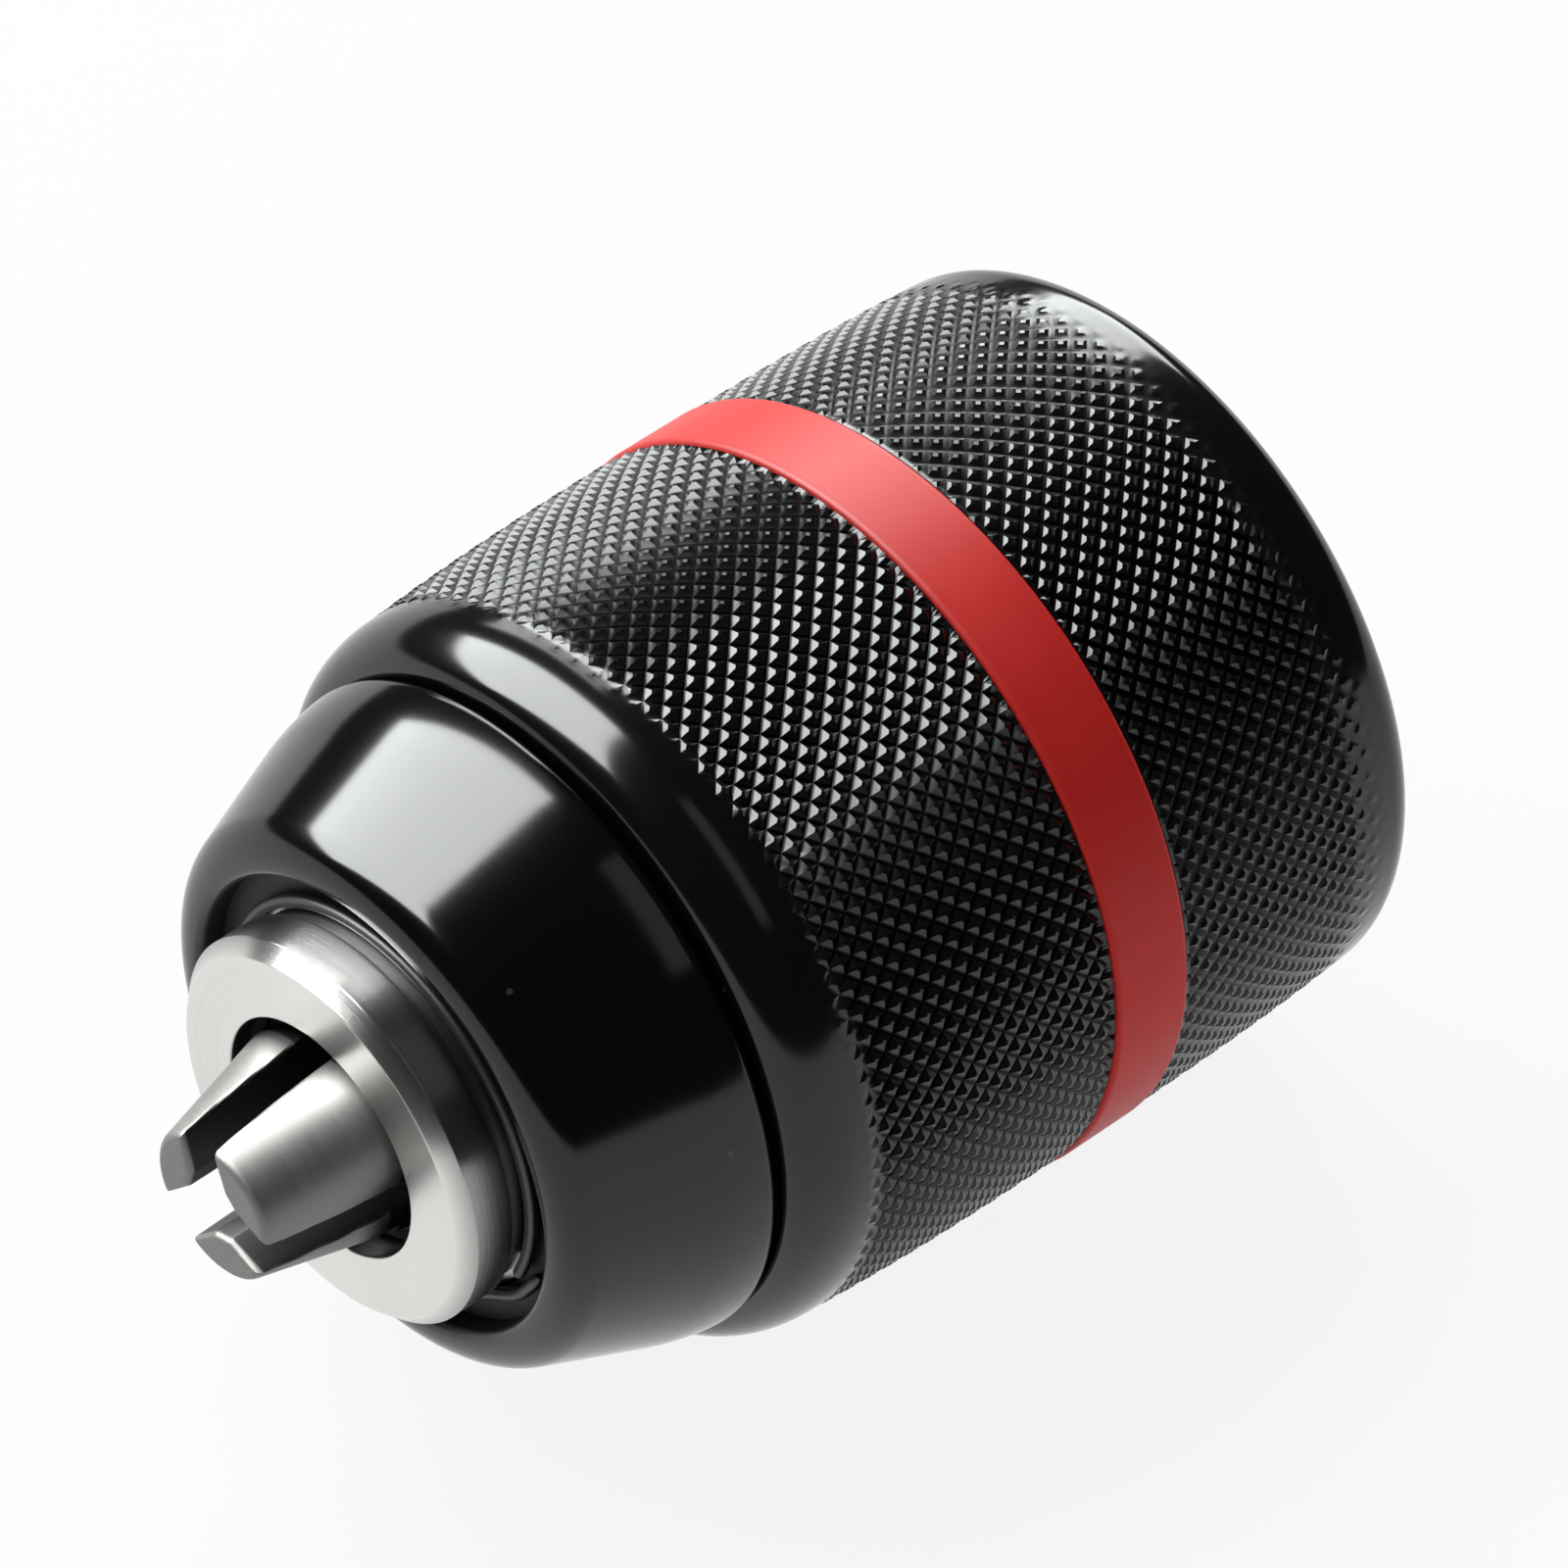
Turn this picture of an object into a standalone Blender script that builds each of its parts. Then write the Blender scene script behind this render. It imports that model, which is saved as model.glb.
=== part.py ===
"""Keyless drill chuck, 1.5 to 13 mm, as an assembly of turned and milled pieces.

The chuck lies on its side. Its axis runs along Y with the nose towards -Y, and the floor is z = 0.
Every piece is drawn in the chuck's own frame, where z is the distance in front of the spindle seat,
and hangs on one empty that lays that frame down. Lengths are in metres.
"""

import math

import bmesh
import bpy
from mathutils import Matrix, Vector

# Fits shared by all pieces
SEAT_GAP = 0.0002
RUNNING_GAP = 0.0003
PRESS_GAP = 0.0002

# Facets of the turned pieces: OUTER_STEPS leaves a flat, and not a corner, at the underside
OUTER_STEPS = 42
INNER_STEPS = 40
JAW_STEPS = 24

# Jaws: three round rods that slide on slanted lines and meet in front of the nose
JAW_COUNT = 3
JAW_RADIUS = 0.00375
JAW_SLANT = math.radians(15.0)
JAW_FIRST_ANGLE = math.radians(45.0)
JAW_REACH = 0.00703
JAW_TIP_OFFSET = 0.00037
JAW_SLIDING_GAP = 0.00015
GRIP_HALF_ANGLE = math.radians(60.0)
GRIP_LAND = 0.00035
SMALLEST_BIT = 0.0015
LARGEST_BIT = 0.013
BIT_AT_REST = 0.0037

# Thread between the nut and the teeth on the jaws' backs; the pitch is taken along a jaw
PITCH = 0.002
TOOTH_DEPTH = 0.0009
GROOVE_MOUTH = 0.0014
GROOVE_FLOOR = 0.0009
THREAD_SIDE_GAP = 0.0002
THREAD_ROOT_GAP = 0.00025

# Lengths along the body, from the spindle seat forwards
HUB_LENGTH = 0.0036
FLANGE_LENGTH = 0.0248
NUT_LENGTH = 0.006
FRONT_LENGTH = 0.01165
SNAP_GROOVE_PLAY = 0.0009
NOSE_LENGTH = 0.00315

# Radii and walls of the body
HUB_RADIUS = 0.0125
SPINDLE_RADIUS = 0.00575
SPINDLE_DEPTH = 0.016
SPINDLE_CHAMFER = 0.0006
SCREW_HOLE_RADIUS = 0.0032
SOCKET_WEB = 0.003
BIT_BORE_RADIUS = 0.00687
NOSE_RADIUS = 0.0111
NOSE_CHAMFER = 0.0008
SNAP_GROOVE_DEPTH = 0.0004
FRONT_RADIUS = 0.0136
BEARING_LAND_WALL = 0.00075

# Thrust bearing behind the nut
WASHER_THICKNESS = 0.0008
WASHER_WIDTH = 0.0034
BALL_COUNT = 16
BALL_RADIUS = 0.0011
BALL_GAP = 0.0001
CAGE_THICKNESS = 0.0012
CAGE_POCKET_GAP = 0.00015

# Nut and its steel band
NUT_WALL = 0.0033
NUT_SPLIT = 0.0003
NUT_RING_WALL = 0.0013

# Sleeve and colour ring
SLEEVE_WALL = 0.00245
SLEEVE_REAR_INSET = 0.001
SLEEVE_REAR_ROUND = 0.002
SLEEVE_REAR_LAND = 0.0001
SLEEVE_FRONT_ROUND = 0.0037
SLEEVE_SHOULDER = 0.0023
SLEEVE_CROWN = 0.00098
RING_WIDTH = 0.00495
RING_FROM_REAR = 0.0195
RING_DEPTH = 0.0013
RING_PROUD = 0.00015
RING_BEVEL = 0.0003

# Hood over the body's front
HOOD_SKIRT = 0.00715
HOOD_FLANGE = 0.002
HOOD_LIP = 0.00155
HOOD_WALL = 0.0016
HOOD_STEP = 0.00195
HOOD_FRONT_ROUND = 0.0024
HOOD_LIP_ROUND = 0.0005
HOOD_REAR_ROUND = 0.0005
HOOD_CROWN_RADIUS = 0.013
HOOD_CROWN_LENGTH = 0.0038
HOOD_CROWN_STEPS = 3
HOOD_LIP_LAND = 0.0001
HOOD_MOUTH_GAP = 0.0003
HOOD_SLEEVE_GAP = 0.00035

# Spiral snap ring of round wire, whose outer end rides over its inner end
SNAP_WIRE = 0.00035
SNAP_INNER_END = math.radians(-27.0)
SNAP_RAMP = math.radians(21.0)
SNAP_OVERLAP = math.radians(9.0)
SNAP_OVERLAP_RISE = 0.0003
SNAP_STRAND_GAP = 0.00015
SNAP_POINTS = 44

# Dust cover at the rear
COVER_THICKNESS = 0.0012
COVER_LIP = 0.0005

# Places worked out from the sizes above
SHOULDER_Z = HUB_LENGTH + FLANGE_LENGTH
REAR_WASHER_Z = SHOULDER_Z + SEAT_GAP
BALL_Z = REAR_WASHER_Z + WASHER_THICKNESS + BALL_GAP + BALL_RADIUS
FRONT_WASHER_Z = BALL_Z + BALL_RADIUS + BALL_GAP
LAND_FRONT_Z = FRONT_WASHER_Z + WASHER_THICKNESS - SEAT_GAP
NUT_REAR_Z = FRONT_WASHER_Z + WASHER_THICKNESS + SEAT_GAP
NUT_FRONT_Z = NUT_REAR_Z + NUT_LENGTH
NUT_MIDDLE_Z = (NUT_REAR_Z + NUT_FRONT_Z) / 2
GROOVE_FRONT_Z = NUT_FRONT_Z + RUNNING_GAP
HOOD_SHOULDER_Z = GROOVE_FRONT_Z + FRONT_LENGTH
HOOD_FLANGE_Z = HOOD_SHOULDER_Z + SEAT_GAP
HOOD_REAR_Z = HOOD_FLANGE_Z - HOOD_SKIRT
HOOD_FLANGE_FRONT_Z = HOOD_FLANGE_Z + HOOD_FLANGE
HOOD_FRONT_Z = HOOD_FLANGE_FRONT_Z + HOOD_LIP
SNAP_Z = HOOD_FLANGE_FRONT_Z + SEAT_GAP + SNAP_WIRE
NOSE_REAR_Z = HOOD_FLANGE_FRONT_Z + 2 * SNAP_WIRE + SNAP_GROOVE_PLAY
NOSE_Z = NOSE_REAR_Z + NOSE_LENGTH
JAW_TIP_Z = NOSE_Z + JAW_REACH
SLEEVE_FRONT_Z = HOOD_REAR_Z - HOOD_SLEEVE_GAP
RING_REAR_Z = SLEEVE_REAR_INSET + RING_FROM_REAR - RING_WIDTH / 2
RING_FRONT_Z = RING_REAR_Z + RING_WIDTH
OPENING_TRAVEL = (LARGEST_BIT - BIT_AT_REST) / 2 / math.sin(JAW_SLANT)
CLOSING_TRAVEL = (BIT_AT_REST - SMALLEST_BIT) / 2 / math.sin(JAW_SLANT)
GRIP_APEX = BIT_AT_REST / 2 - GRIP_LAND


def jaw_centre(z):
    """Distance of a jaw rod's centre line from the chuck's axis at height z."""
    return JAW_TIP_OFFSET + math.tan(JAW_SLANT) * (JAW_TIP_Z - z)


def jaw_back(z):
    """Distance of a jaw's back, the crests of its teeth, from the chuck's axis."""
    return jaw_centre(z) + JAW_RADIUS / math.cos(JAW_SLANT)


def passage_back(z):
    """Distance of the outer wall of a jaw's passage from the chuck's axis."""
    return jaw_centre(z) + (JAW_RADIUS + JAW_SLIDING_GAP) / math.cos(JAW_SLANT)


def nut_crest(z):
    """Radius of the tops of the nut's thread, which reach into the jaws' grooves."""
    return jaw_back(z) - TOOTH_DEPTH + THREAD_ROOT_GAP


def nut_root(z):
    """Radius of the floor of the nut's thread, clear of the jaws' backs."""
    return jaw_back(z) + THREAD_ROOT_GAP


# Radii worked out from the inside to the outside
LAND_RADIUS = passage_back(SHOULDER_Z) + BEARING_LAND_WALL
WASHER_INNER = LAND_RADIUS + RUNNING_GAP
WASHER_OUTER = WASHER_INNER + WASHER_WIDTH
BALL_CIRCLE = (WASHER_INNER + WASHER_OUTER) / 2
FLANGE_RADIUS = WASHER_OUTER
NUT_RADIUS = nut_root(NUT_REAR_Z) + NUT_WALL
NUT_RING_RADIUS = NUT_RADIUS + PRESS_GAP + NUT_RING_WALL
NUT_BORE = NUT_RING_RADIUS + PRESS_GAP
SLEEVE_BORE = max(FLANGE_RADIUS + RUNNING_GAP, NUT_BORE)
SLEEVE_RADIUS = SLEEVE_BORE + SLEEVE_WALL
RING_RADIUS = SLEEVE_RADIUS + RING_PROUD
RING_SEAT = RING_RADIUS - RING_DEPTH
SNAP_GROOVE_RADIUS = NOSE_RADIUS - SNAP_GROOVE_DEPTH
SNAP_RADIUS = SNAP_GROOVE_RADIUS + SEAT_GAP + SNAP_WIRE
SNAP_STEP_OUT = 2 * SNAP_WIRE + SNAP_STRAND_GAP
HOOD_MOUTH = SNAP_RADIUS + SNAP_STEP_OUT + SNAP_OVERLAP_RISE + SNAP_WIRE + HOOD_MOUTH_GAP
HOOD_BORE = NOSE_RADIUS + PRESS_GAP
HOOD_REAR_RADIUS = SLEEVE_RADIUS - HOOD_STEP
AXIS_HEIGHT = RING_RADIUS * math.cos(math.pi / OUTER_STEPS)

STEEL = ((0.62, 0.61, 0.59, 1.0), 0.3, 1.0)
BRIGHT_STEEL = ((0.72, 0.71, 0.69, 1.0), 0.22, 1.0)
SPRING_STEEL = ((0.40, 0.40, 0.41, 1.0), 0.35, 1.0)
BLACK_STEEL = ((0.012, 0.012, 0.013, 1.0), 0.25, 0.6)
RED_PLASTIC = ((0.55, 0.02, 0.02, 1.0), 0.45, 0.0)
BRASS = ((0.60, 0.44, 0.20, 1.0), 0.35, 1.0)


def clear_scene():
    for obj in list(bpy.data.objects):
        bpy.data.objects.remove(obj)


def new_collection(name):
    collection = bpy.data.collections.new(name)
    bpy.context.scene.collection.children.link(collection)
    return collection


clear_scene()
PARTS = new_collection("drill_chuck")
CUTTERS = new_collection("cutters")
AXIS = bpy.data.objects.new("chuck_axis", None)
PARTS.objects.link(AXIS)
AXIS.location = (0.0, JAW_TIP_Z / 2, AXIS_HEIGHT)
AXIS.rotation_euler = (math.pi / 2, 0.0, 0.0)


def finish_material(name, look):
    colour, roughness, metallic = look
    material = bpy.data.materials.new(name)
    material.use_nodes = True
    shader = material.node_tree.nodes["Principled BSDF"]
    shader.inputs["Base Color"].default_value = colour
    shader.inputs["Roughness"].default_value = roughness
    shader.inputs["Metallic"].default_value = metallic
    material.diffuse_color = colour
    return material


def add_part(name, mesh, look):
    """A visible piece on the chuck's axis, with a material of its own."""
    obj = bpy.data.objects.new(name, mesh)
    PARTS.objects.link(obj)
    obj.parent = AXIS
    mesh.materials.append(finish_material(name, look))
    mesh.shade_smooth()
    mesh.set_sharp_from_angle(angle=math.radians(30.0))
    return obj


def add_cutter(name, mesh):
    """A helper on the chuck's axis that only cuts other pieces."""
    obj = bpy.data.objects.new(name, mesh)
    CUTTERS.objects.link(obj)
    obj.parent = AXIS
    obj.hide_render = True
    obj.display_type = "WIRE"
    return obj


def mesh_from(name, bm):
    mesh = bpy.data.meshes.new(name)
    bm.to_mesh(mesh)
    bm.free()
    return mesh


def arc(centre_r, centre_z, radius, start, end, steps):
    """Points (r, z) on an arc; the angle 0 points outwards and 90 degrees forwards."""
    points = []
    for i in range(steps + 1):
        angle = math.radians(start + (end - start) * i / steps)
        points.append((centre_r + radius * math.cos(angle), centre_z + radius * math.sin(angle)))
    return points


def turned_mesh(name, outline):
    """The closed outline of a turned piece, as (r, z) points down its outer side and up its inner side."""
    bm = bmesh.new()
    points = [bm.verts.new((r, 0.0, z)) for r, z in outline]
    for here, there in zip(points, points[1:] + points[:1]):
        bm.edges.new((here, there))
    return mesh_from(name, bm)


def turn(obj, steps):
    screw = obj.modifiers.new("turning", "SCREW")
    screw.axis = "Z"
    screw.angle = 2 * math.pi
    screw.steps = steps
    screw.render_steps = steps
    screw.use_merge_vertices = True
    screw.merge_threshold = 1e-6
    screw.use_smooth_shade = True
    return obj


def turned_part(name, outline, look, steps=INNER_STEPS):
    return turn(add_part(name, turned_mesh(name, outline), look), steps)


def combine(obj, tool, operation):
    boolean = obj.modifiers.new(tool.name, "BOOLEAN")
    boolean.operation = operation
    boolean.object = tool
    boolean.solver = "EXACT"


def rod_mesh(name, radius, start, end, steps):
    """A solid round rod between two points."""
    along = Vector(end) - Vector(start)
    bm = bmesh.new()
    bmesh.ops.create_cone(
        bm, cap_ends=True, segments=steps, radius1=radius, radius2=radius, depth=along.length
    )
    turn_to = along.to_track_quat("Z", "X").to_matrix().to_4x4()
    middle = (Vector(start) + Vector(end)) / 2
    bm.transform(Matrix.Translation(middle) @ turn_to)
    return mesh_from(name, bm)


def prism_mesh(name, outline, low_z, high_z):
    """A flat outline of (x, y) points, counter-clockwise, drawn out along z."""
    bm = bmesh.new()
    face = bm.faces.new([bm.verts.new((x, y, low_z)) for x, y in outline])
    made = bmesh.ops.extrude_face_region(bm, geom=[face])
    top = [item for item in made["geom"] if isinstance(item, bmesh.types.BMVert)]
    bmesh.ops.translate(bm, verts=top, vec=(0.0, 0.0, high_z - low_z))
    bmesh.ops.recalc_face_normals(bm, faces=bm.faces[:])
    return mesh_from(name, bm)


def swept_bmesh(section, angle, rise, steps):
    """A section of (r, z) points spun about z by angle while it rises, with closed ends."""
    bm = bmesh.new()
    face = bm.faces.new([bm.verts.new((r, 0.0, z)) for r, z in section])
    geometry = face.verts[:] + face.edges[:] + [face]
    spun = bmesh.ops.spin(
        bm,
        geom=geometry,
        cent=(0.0, 0.0, 0.0),
        axis=(0.0, 0.0, 1.0),
        dvec=(0.0, 0.0, rise / steps),
        angle=angle,
        steps=steps,
        use_duplicate=False,
    )
    del spun
    bmesh.ops.recalc_face_normals(bm, faces=bm.faces[:])
    return bm


def jaw_angle(index):
    return JAW_FIRST_ANGLE + 2 * math.pi * index / JAW_COUNT


def add_body():
    """One turned steel body with a spindle socket, a bit bore and a slanted passage for each jaw."""
    outline = [
        (NOSE_RADIUS - NOSE_CHAMFER, NOSE_Z),
        (NOSE_RADIUS, NOSE_Z - NOSE_CHAMFER),
        (NOSE_RADIUS, NOSE_REAR_Z),
        (SNAP_GROOVE_RADIUS, NOSE_REAR_Z),
        (SNAP_GROOVE_RADIUS, HOOD_FLANGE_FRONT_Z),
        (NOSE_RADIUS, HOOD_FLANGE_FRONT_Z),
        (NOSE_RADIUS, HOOD_SHOULDER_Z),
        (FRONT_RADIUS, HOOD_SHOULDER_Z),
        (FRONT_RADIUS, GROOVE_FRONT_Z),
        (nut_crest(GROOVE_FRONT_Z) - RUNNING_GAP, GROOVE_FRONT_Z),
        (nut_crest(LAND_FRONT_Z) - RUNNING_GAP, LAND_FRONT_Z),
        (LAND_RADIUS, LAND_FRONT_Z),
        (LAND_RADIUS, SHOULDER_Z),
        (FLANGE_RADIUS, SHOULDER_Z),
        (FLANGE_RADIUS, HUB_LENGTH),
        (HUB_RADIUS, HUB_LENGTH),
        (HUB_RADIUS, 0.0),
        (SPINDLE_RADIUS + SPINDLE_CHAMFER, 0.0),
        (SPINDLE_RADIUS, SPINDLE_CHAMFER),
        (SPINDLE_RADIUS, SPINDLE_DEPTH),
        (SCREW_HOLE_RADIUS, SPINDLE_DEPTH),
        (SCREW_HOLE_RADIUS, SPINDLE_DEPTH + SOCKET_WEB),
        (BIT_BORE_RADIUS, SPINDLE_DEPTH + SOCKET_WEB),
        (BIT_BORE_RADIUS, NOSE_Z),
    ]
    body = turned_part("chuck_body", outline, BRIGHT_STEEL)
    beyond = JAW_RADIUS
    for index in range(JAW_COUNT):
        start = (jaw_centre(-beyond), 0.0, -beyond)
        end = (jaw_centre(NOSE_Z + beyond), 0.0, NOSE_Z + beyond)
        name = f"passage_{index + 1}"
        mesh = rod_mesh(name, JAW_RADIUS + JAW_SLIDING_GAP, start, end, JAW_STEPS)
        passage = add_cutter(name, mesh)
        passage.rotation_euler = (0.0, 0.0, jaw_angle(index))
        combine(body, passage, "DIFFERENCE")
    return body


def groove_cutter(name, phase, first, last):
    """A rack of round grooves, one pitch apart along the jaw, bent to the nut's radius."""
    radius = jaw_back(NUT_MIDDLE_Z)
    flank = (GROOVE_MOUTH - GROOVE_FLOOR) / 2 / TOOTH_DEPTH
    above = JAW_RADIUS / 4
    mouth = GROOVE_MOUTH / 2 + flank * above
    section = [
        (radius - TOOTH_DEPTH, -GROOVE_FLOOR / 2),
        (radius + above, -mouth),
        (radius + above, mouth),
        (radius - TOOTH_DEPTH, GROOVE_FLOOR / 2),
    ]
    half_width = math.asin(JAW_RADIUS / radius) * 1.1
    lead = PITCH * math.cos(JAW_SLANT) * half_width / math.pi
    bm = swept_bmesh(section, 2 * half_width, lead, JAW_STEPS // 3)
    to_jaw = Matrix.Rotation(-half_width, 4, "Z")
    bm.transform(Matrix.Translation((-radius, 0.0, -lead / 2)) @ to_jaw)
    cutter = add_cutter(name, mesh_from(name, bm))
    start = NUT_MIDDLE_Z + (phase + first) * PITCH * math.cos(JAW_SLANT)
    place = Matrix.Translation((jaw_back(start), 0.0, start))
    for vertex in cutter.data.vertices:
        vertex.co = place @ vertex.co
    rack = cutter.modifiers.new("rack", "ARRAY")
    rack.count = last - first + 1
    rack.use_relative_offset = False
    rack.use_constant_offset = True
    rack.constant_offset_displace = (
        -PITCH * math.sin(JAW_SLANT),
        0.0,
        PITCH * math.cos(JAW_SLANT),
    )
    rack.use_merge_vertices = False
    return cutter


def add_jaw(index):
    """A slanted rod with two grip faces at 120 degrees, a flat tip and teeth on its back."""
    name = f"jaw_{index + 1}"
    nut_half = NUT_LENGTH / 2 / math.cos(JAW_SLANT)
    toothed_back = CLOSING_TRAVEL + nut_half
    toothed_front = OPENING_TRAVEL + nut_half
    rear_z = NUT_MIDDLE_Z - (toothed_back + PITCH / 2) * math.cos(JAW_SLANT)
    beyond = JAW_TIP_Z + JAW_RADIUS
    start = (jaw_centre(rear_z), 0.0, rear_z)
    end = (jaw_centre(beyond), 0.0, beyond)
    jaw = add_part(name, rod_mesh(name, JAW_RADIUS, start, end, JAW_STEPS), BRIGHT_STEEL)
    jaw.rotation_euler = (0.0, 0.0, jaw_angle(index))

    far = FLANGE_RADIUS + JAW_RADIUS
    slope = math.tan(GRIP_HALF_ANGLE)
    land = GRIP_LAND * slope
    wedge_outline = [
        (GRIP_APEX + GRIP_LAND, -land),
        (far, -(far - GRIP_APEX) * slope),
        (far, (far - GRIP_APEX) * slope),
        (GRIP_APEX + GRIP_LAND, land),
    ]
    wedge_name = f"grip_faces_{index + 1}"
    wedge_mesh = prism_mesh(wedge_name, wedge_outline, rear_z - JAW_RADIUS, JAW_TIP_Z)
    wedge = add_cutter(wedge_name, wedge_mesh)
    wedge.rotation_euler = jaw.rotation_euler
    combine(jaw, wedge, "INTERSECT")

    moved_out = OPENING_TRAVEL * math.sin(JAW_SLANT)
    trim_name = f"back_trim_{index + 1}"
    trim_mesh = rod_mesh(
        trim_name,
        FLANGE_RADIUS,
        (-moved_out, 0.0, rear_z - JAW_RADIUS),
        (-moved_out, 0.0, beyond),
        OUTER_STEPS,
    )
    trim = add_cutter(trim_name, trim_mesh)
    trim.rotation_euler = jaw.rotation_euler
    combine(jaw, trim, "INTERSECT")

    phase = jaw_angle(index) / (2 * math.pi)
    first = -math.ceil(toothed_back / PITCH) - 1
    last = math.floor(toothed_front / PITCH - phase)
    grooves = groove_cutter(f"teeth_{index + 1}", phase, first, last)
    grooves.rotation_euler = jaw.rotation_euler
    combine(jaw, grooves, "DIFFERENCE")
    return jaw


def add_nut():
    """A conical nut whose right-hand thread drives the jaws, split in two to go round the body."""
    blank = [
        (NUT_RADIUS, NUT_FRONT_Z),
        (NUT_RADIUS, NUT_REAR_Z),
        (nut_crest(NUT_REAR_Z), NUT_REAR_Z),
        (nut_crest(NUT_FRONT_Z), NUT_FRONT_Z),
    ]
    axial_pitch = PITCH * math.cos(JAW_SLANT)
    flank = (GROOVE_MOUTH - GROOVE_FLOOR) / 2 / TOOTH_DEPTH
    middle_root = nut_root(NUT_MIDDLE_Z)
    height = middle_root - nut_crest(NUT_MIDDLE_Z)
    ridge_top = (GROOVE_FLOOR - 2 * THREAD_SIDE_GAP + 2 * flank * THREAD_ROOT_GAP) / 2
    ridge_foot = ridge_top + flank * height
    inside = height / 3
    floor_half = axial_pitch / 2 - ridge_foot
    mouth_half = axial_pitch / 2 - ridge_top + flank * inside
    turns = math.ceil(NUT_LENGTH / axial_pitch) + 3
    start_z = NUT_MIDDLE_Z - axial_pitch * (turns / 2 + 0.5) + axial_pitch * (turns % 2) / 2
    section = [
        (middle_root - height - inside, start_z - mouth_half),
        (middle_root, start_z - floor_half),
        (middle_root, start_z + floor_half),
        (middle_root - height - inside, start_z + mouth_half),
    ]
    steps = INNER_STEPS * turns
    bm = swept_bmesh(section, 2 * math.pi * turns, axial_pitch * turns, steps)
    for vertex in bm.verts:
        taper = nut_root(vertex.co.z) / middle_root
        vertex.co.x *= taper
        vertex.co.y *= taper
    thread = add_cutter("nut_thread", mesh_from("nut_thread", bm))
    for index, side in enumerate((1, -1)):
        name = f"nut_half_{index + 1}"
        half = turned_part(name, blank, STEEL)
        combine(half, thread, "DIFFERENCE")
        far = 2 * NUT_RADIUS
        near = side * NUT_SPLIT / 2
        edges = sorted((near, -side * far))
        outline = [(-far, edges[0]), (far, edges[0]), (far, edges[1]), (-far, edges[1])]
        other_name = f"other_half_{index + 1}"
        mesh = prism_mesh(other_name, outline, NUT_REAR_Z - far, NUT_FRONT_Z + far)
        combine(half, add_cutter(other_name, mesh), "DIFFERENCE")


def ring_outline(inner, outer, low_z, high_z):
    return [(outer, high_z), (outer, low_z), (inner, low_z), (inner, high_z)]


def add_nut_ring():
    inner = NUT_RADIUS + PRESS_GAP
    turned_part("nut_ring", ring_outline(inner, NUT_RING_RADIUS, NUT_REAR_Z, NUT_FRONT_Z), STEEL)


def add_bearing():
    """Two hardened washers with a brass cage of balls between them."""
    for name, z in (("rear_washer", REAR_WASHER_Z), ("front_washer", FRONT_WASHER_Z)):
        outline = ring_outline(WASHER_INNER, WASHER_OUTER, z, z + WASHER_THICKNESS)
        turned_part(name, outline, STEEL)
    cage_outline = ring_outline(
        WASHER_INNER,
        WASHER_OUTER,
        BALL_Z - CAGE_THICKNESS / 2,
        BALL_Z + CAGE_THICKNESS / 2,
    )
    cage = turned_part("ball_cage", cage_outline, BRASS)
    pockets = bmesh.new()
    for index in range(BALL_COUNT):
        place = Matrix.Rotation(2 * math.pi * index / BALL_COUNT, 4, "Z")
        place @= Matrix.Translation((BALL_CIRCLE, 0.0, BALL_Z))
        bmesh.ops.create_cone(
            pockets,
            cap_ends=True,
            segments=8,
            radius1=BALL_RADIUS + CAGE_POCKET_GAP,
            radius2=BALL_RADIUS + CAGE_POCKET_GAP,
            depth=2 * CAGE_THICKNESS,
            matrix=place,
        )
        ball = bmesh.new()
        bmesh.ops.create_icosphere(ball, subdivisions=2, radius=BALL_RADIUS)
        name = f"ball_{index + 1:02d}"
        obj = add_part(name, mesh_from(name, ball), STEEL)
        obj.location = place.translation
    combine(cage, add_cutter("cage_pockets", mesh_from("cage_pockets", pockets)), "DIFFERENCE")


def sleeve_surface(z):
    """Radius of the sleeve's gripping surface, which falls off towards its ends with the cube of the way."""
    middle = (RING_REAR_Z + RING_FRONT_Z) / 2
    reach = SLEEVE_FRONT_Z - middle
    return SLEEVE_RADIUS - SLEEVE_CROWN * (abs(z - middle) / reach) ** 3


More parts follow.
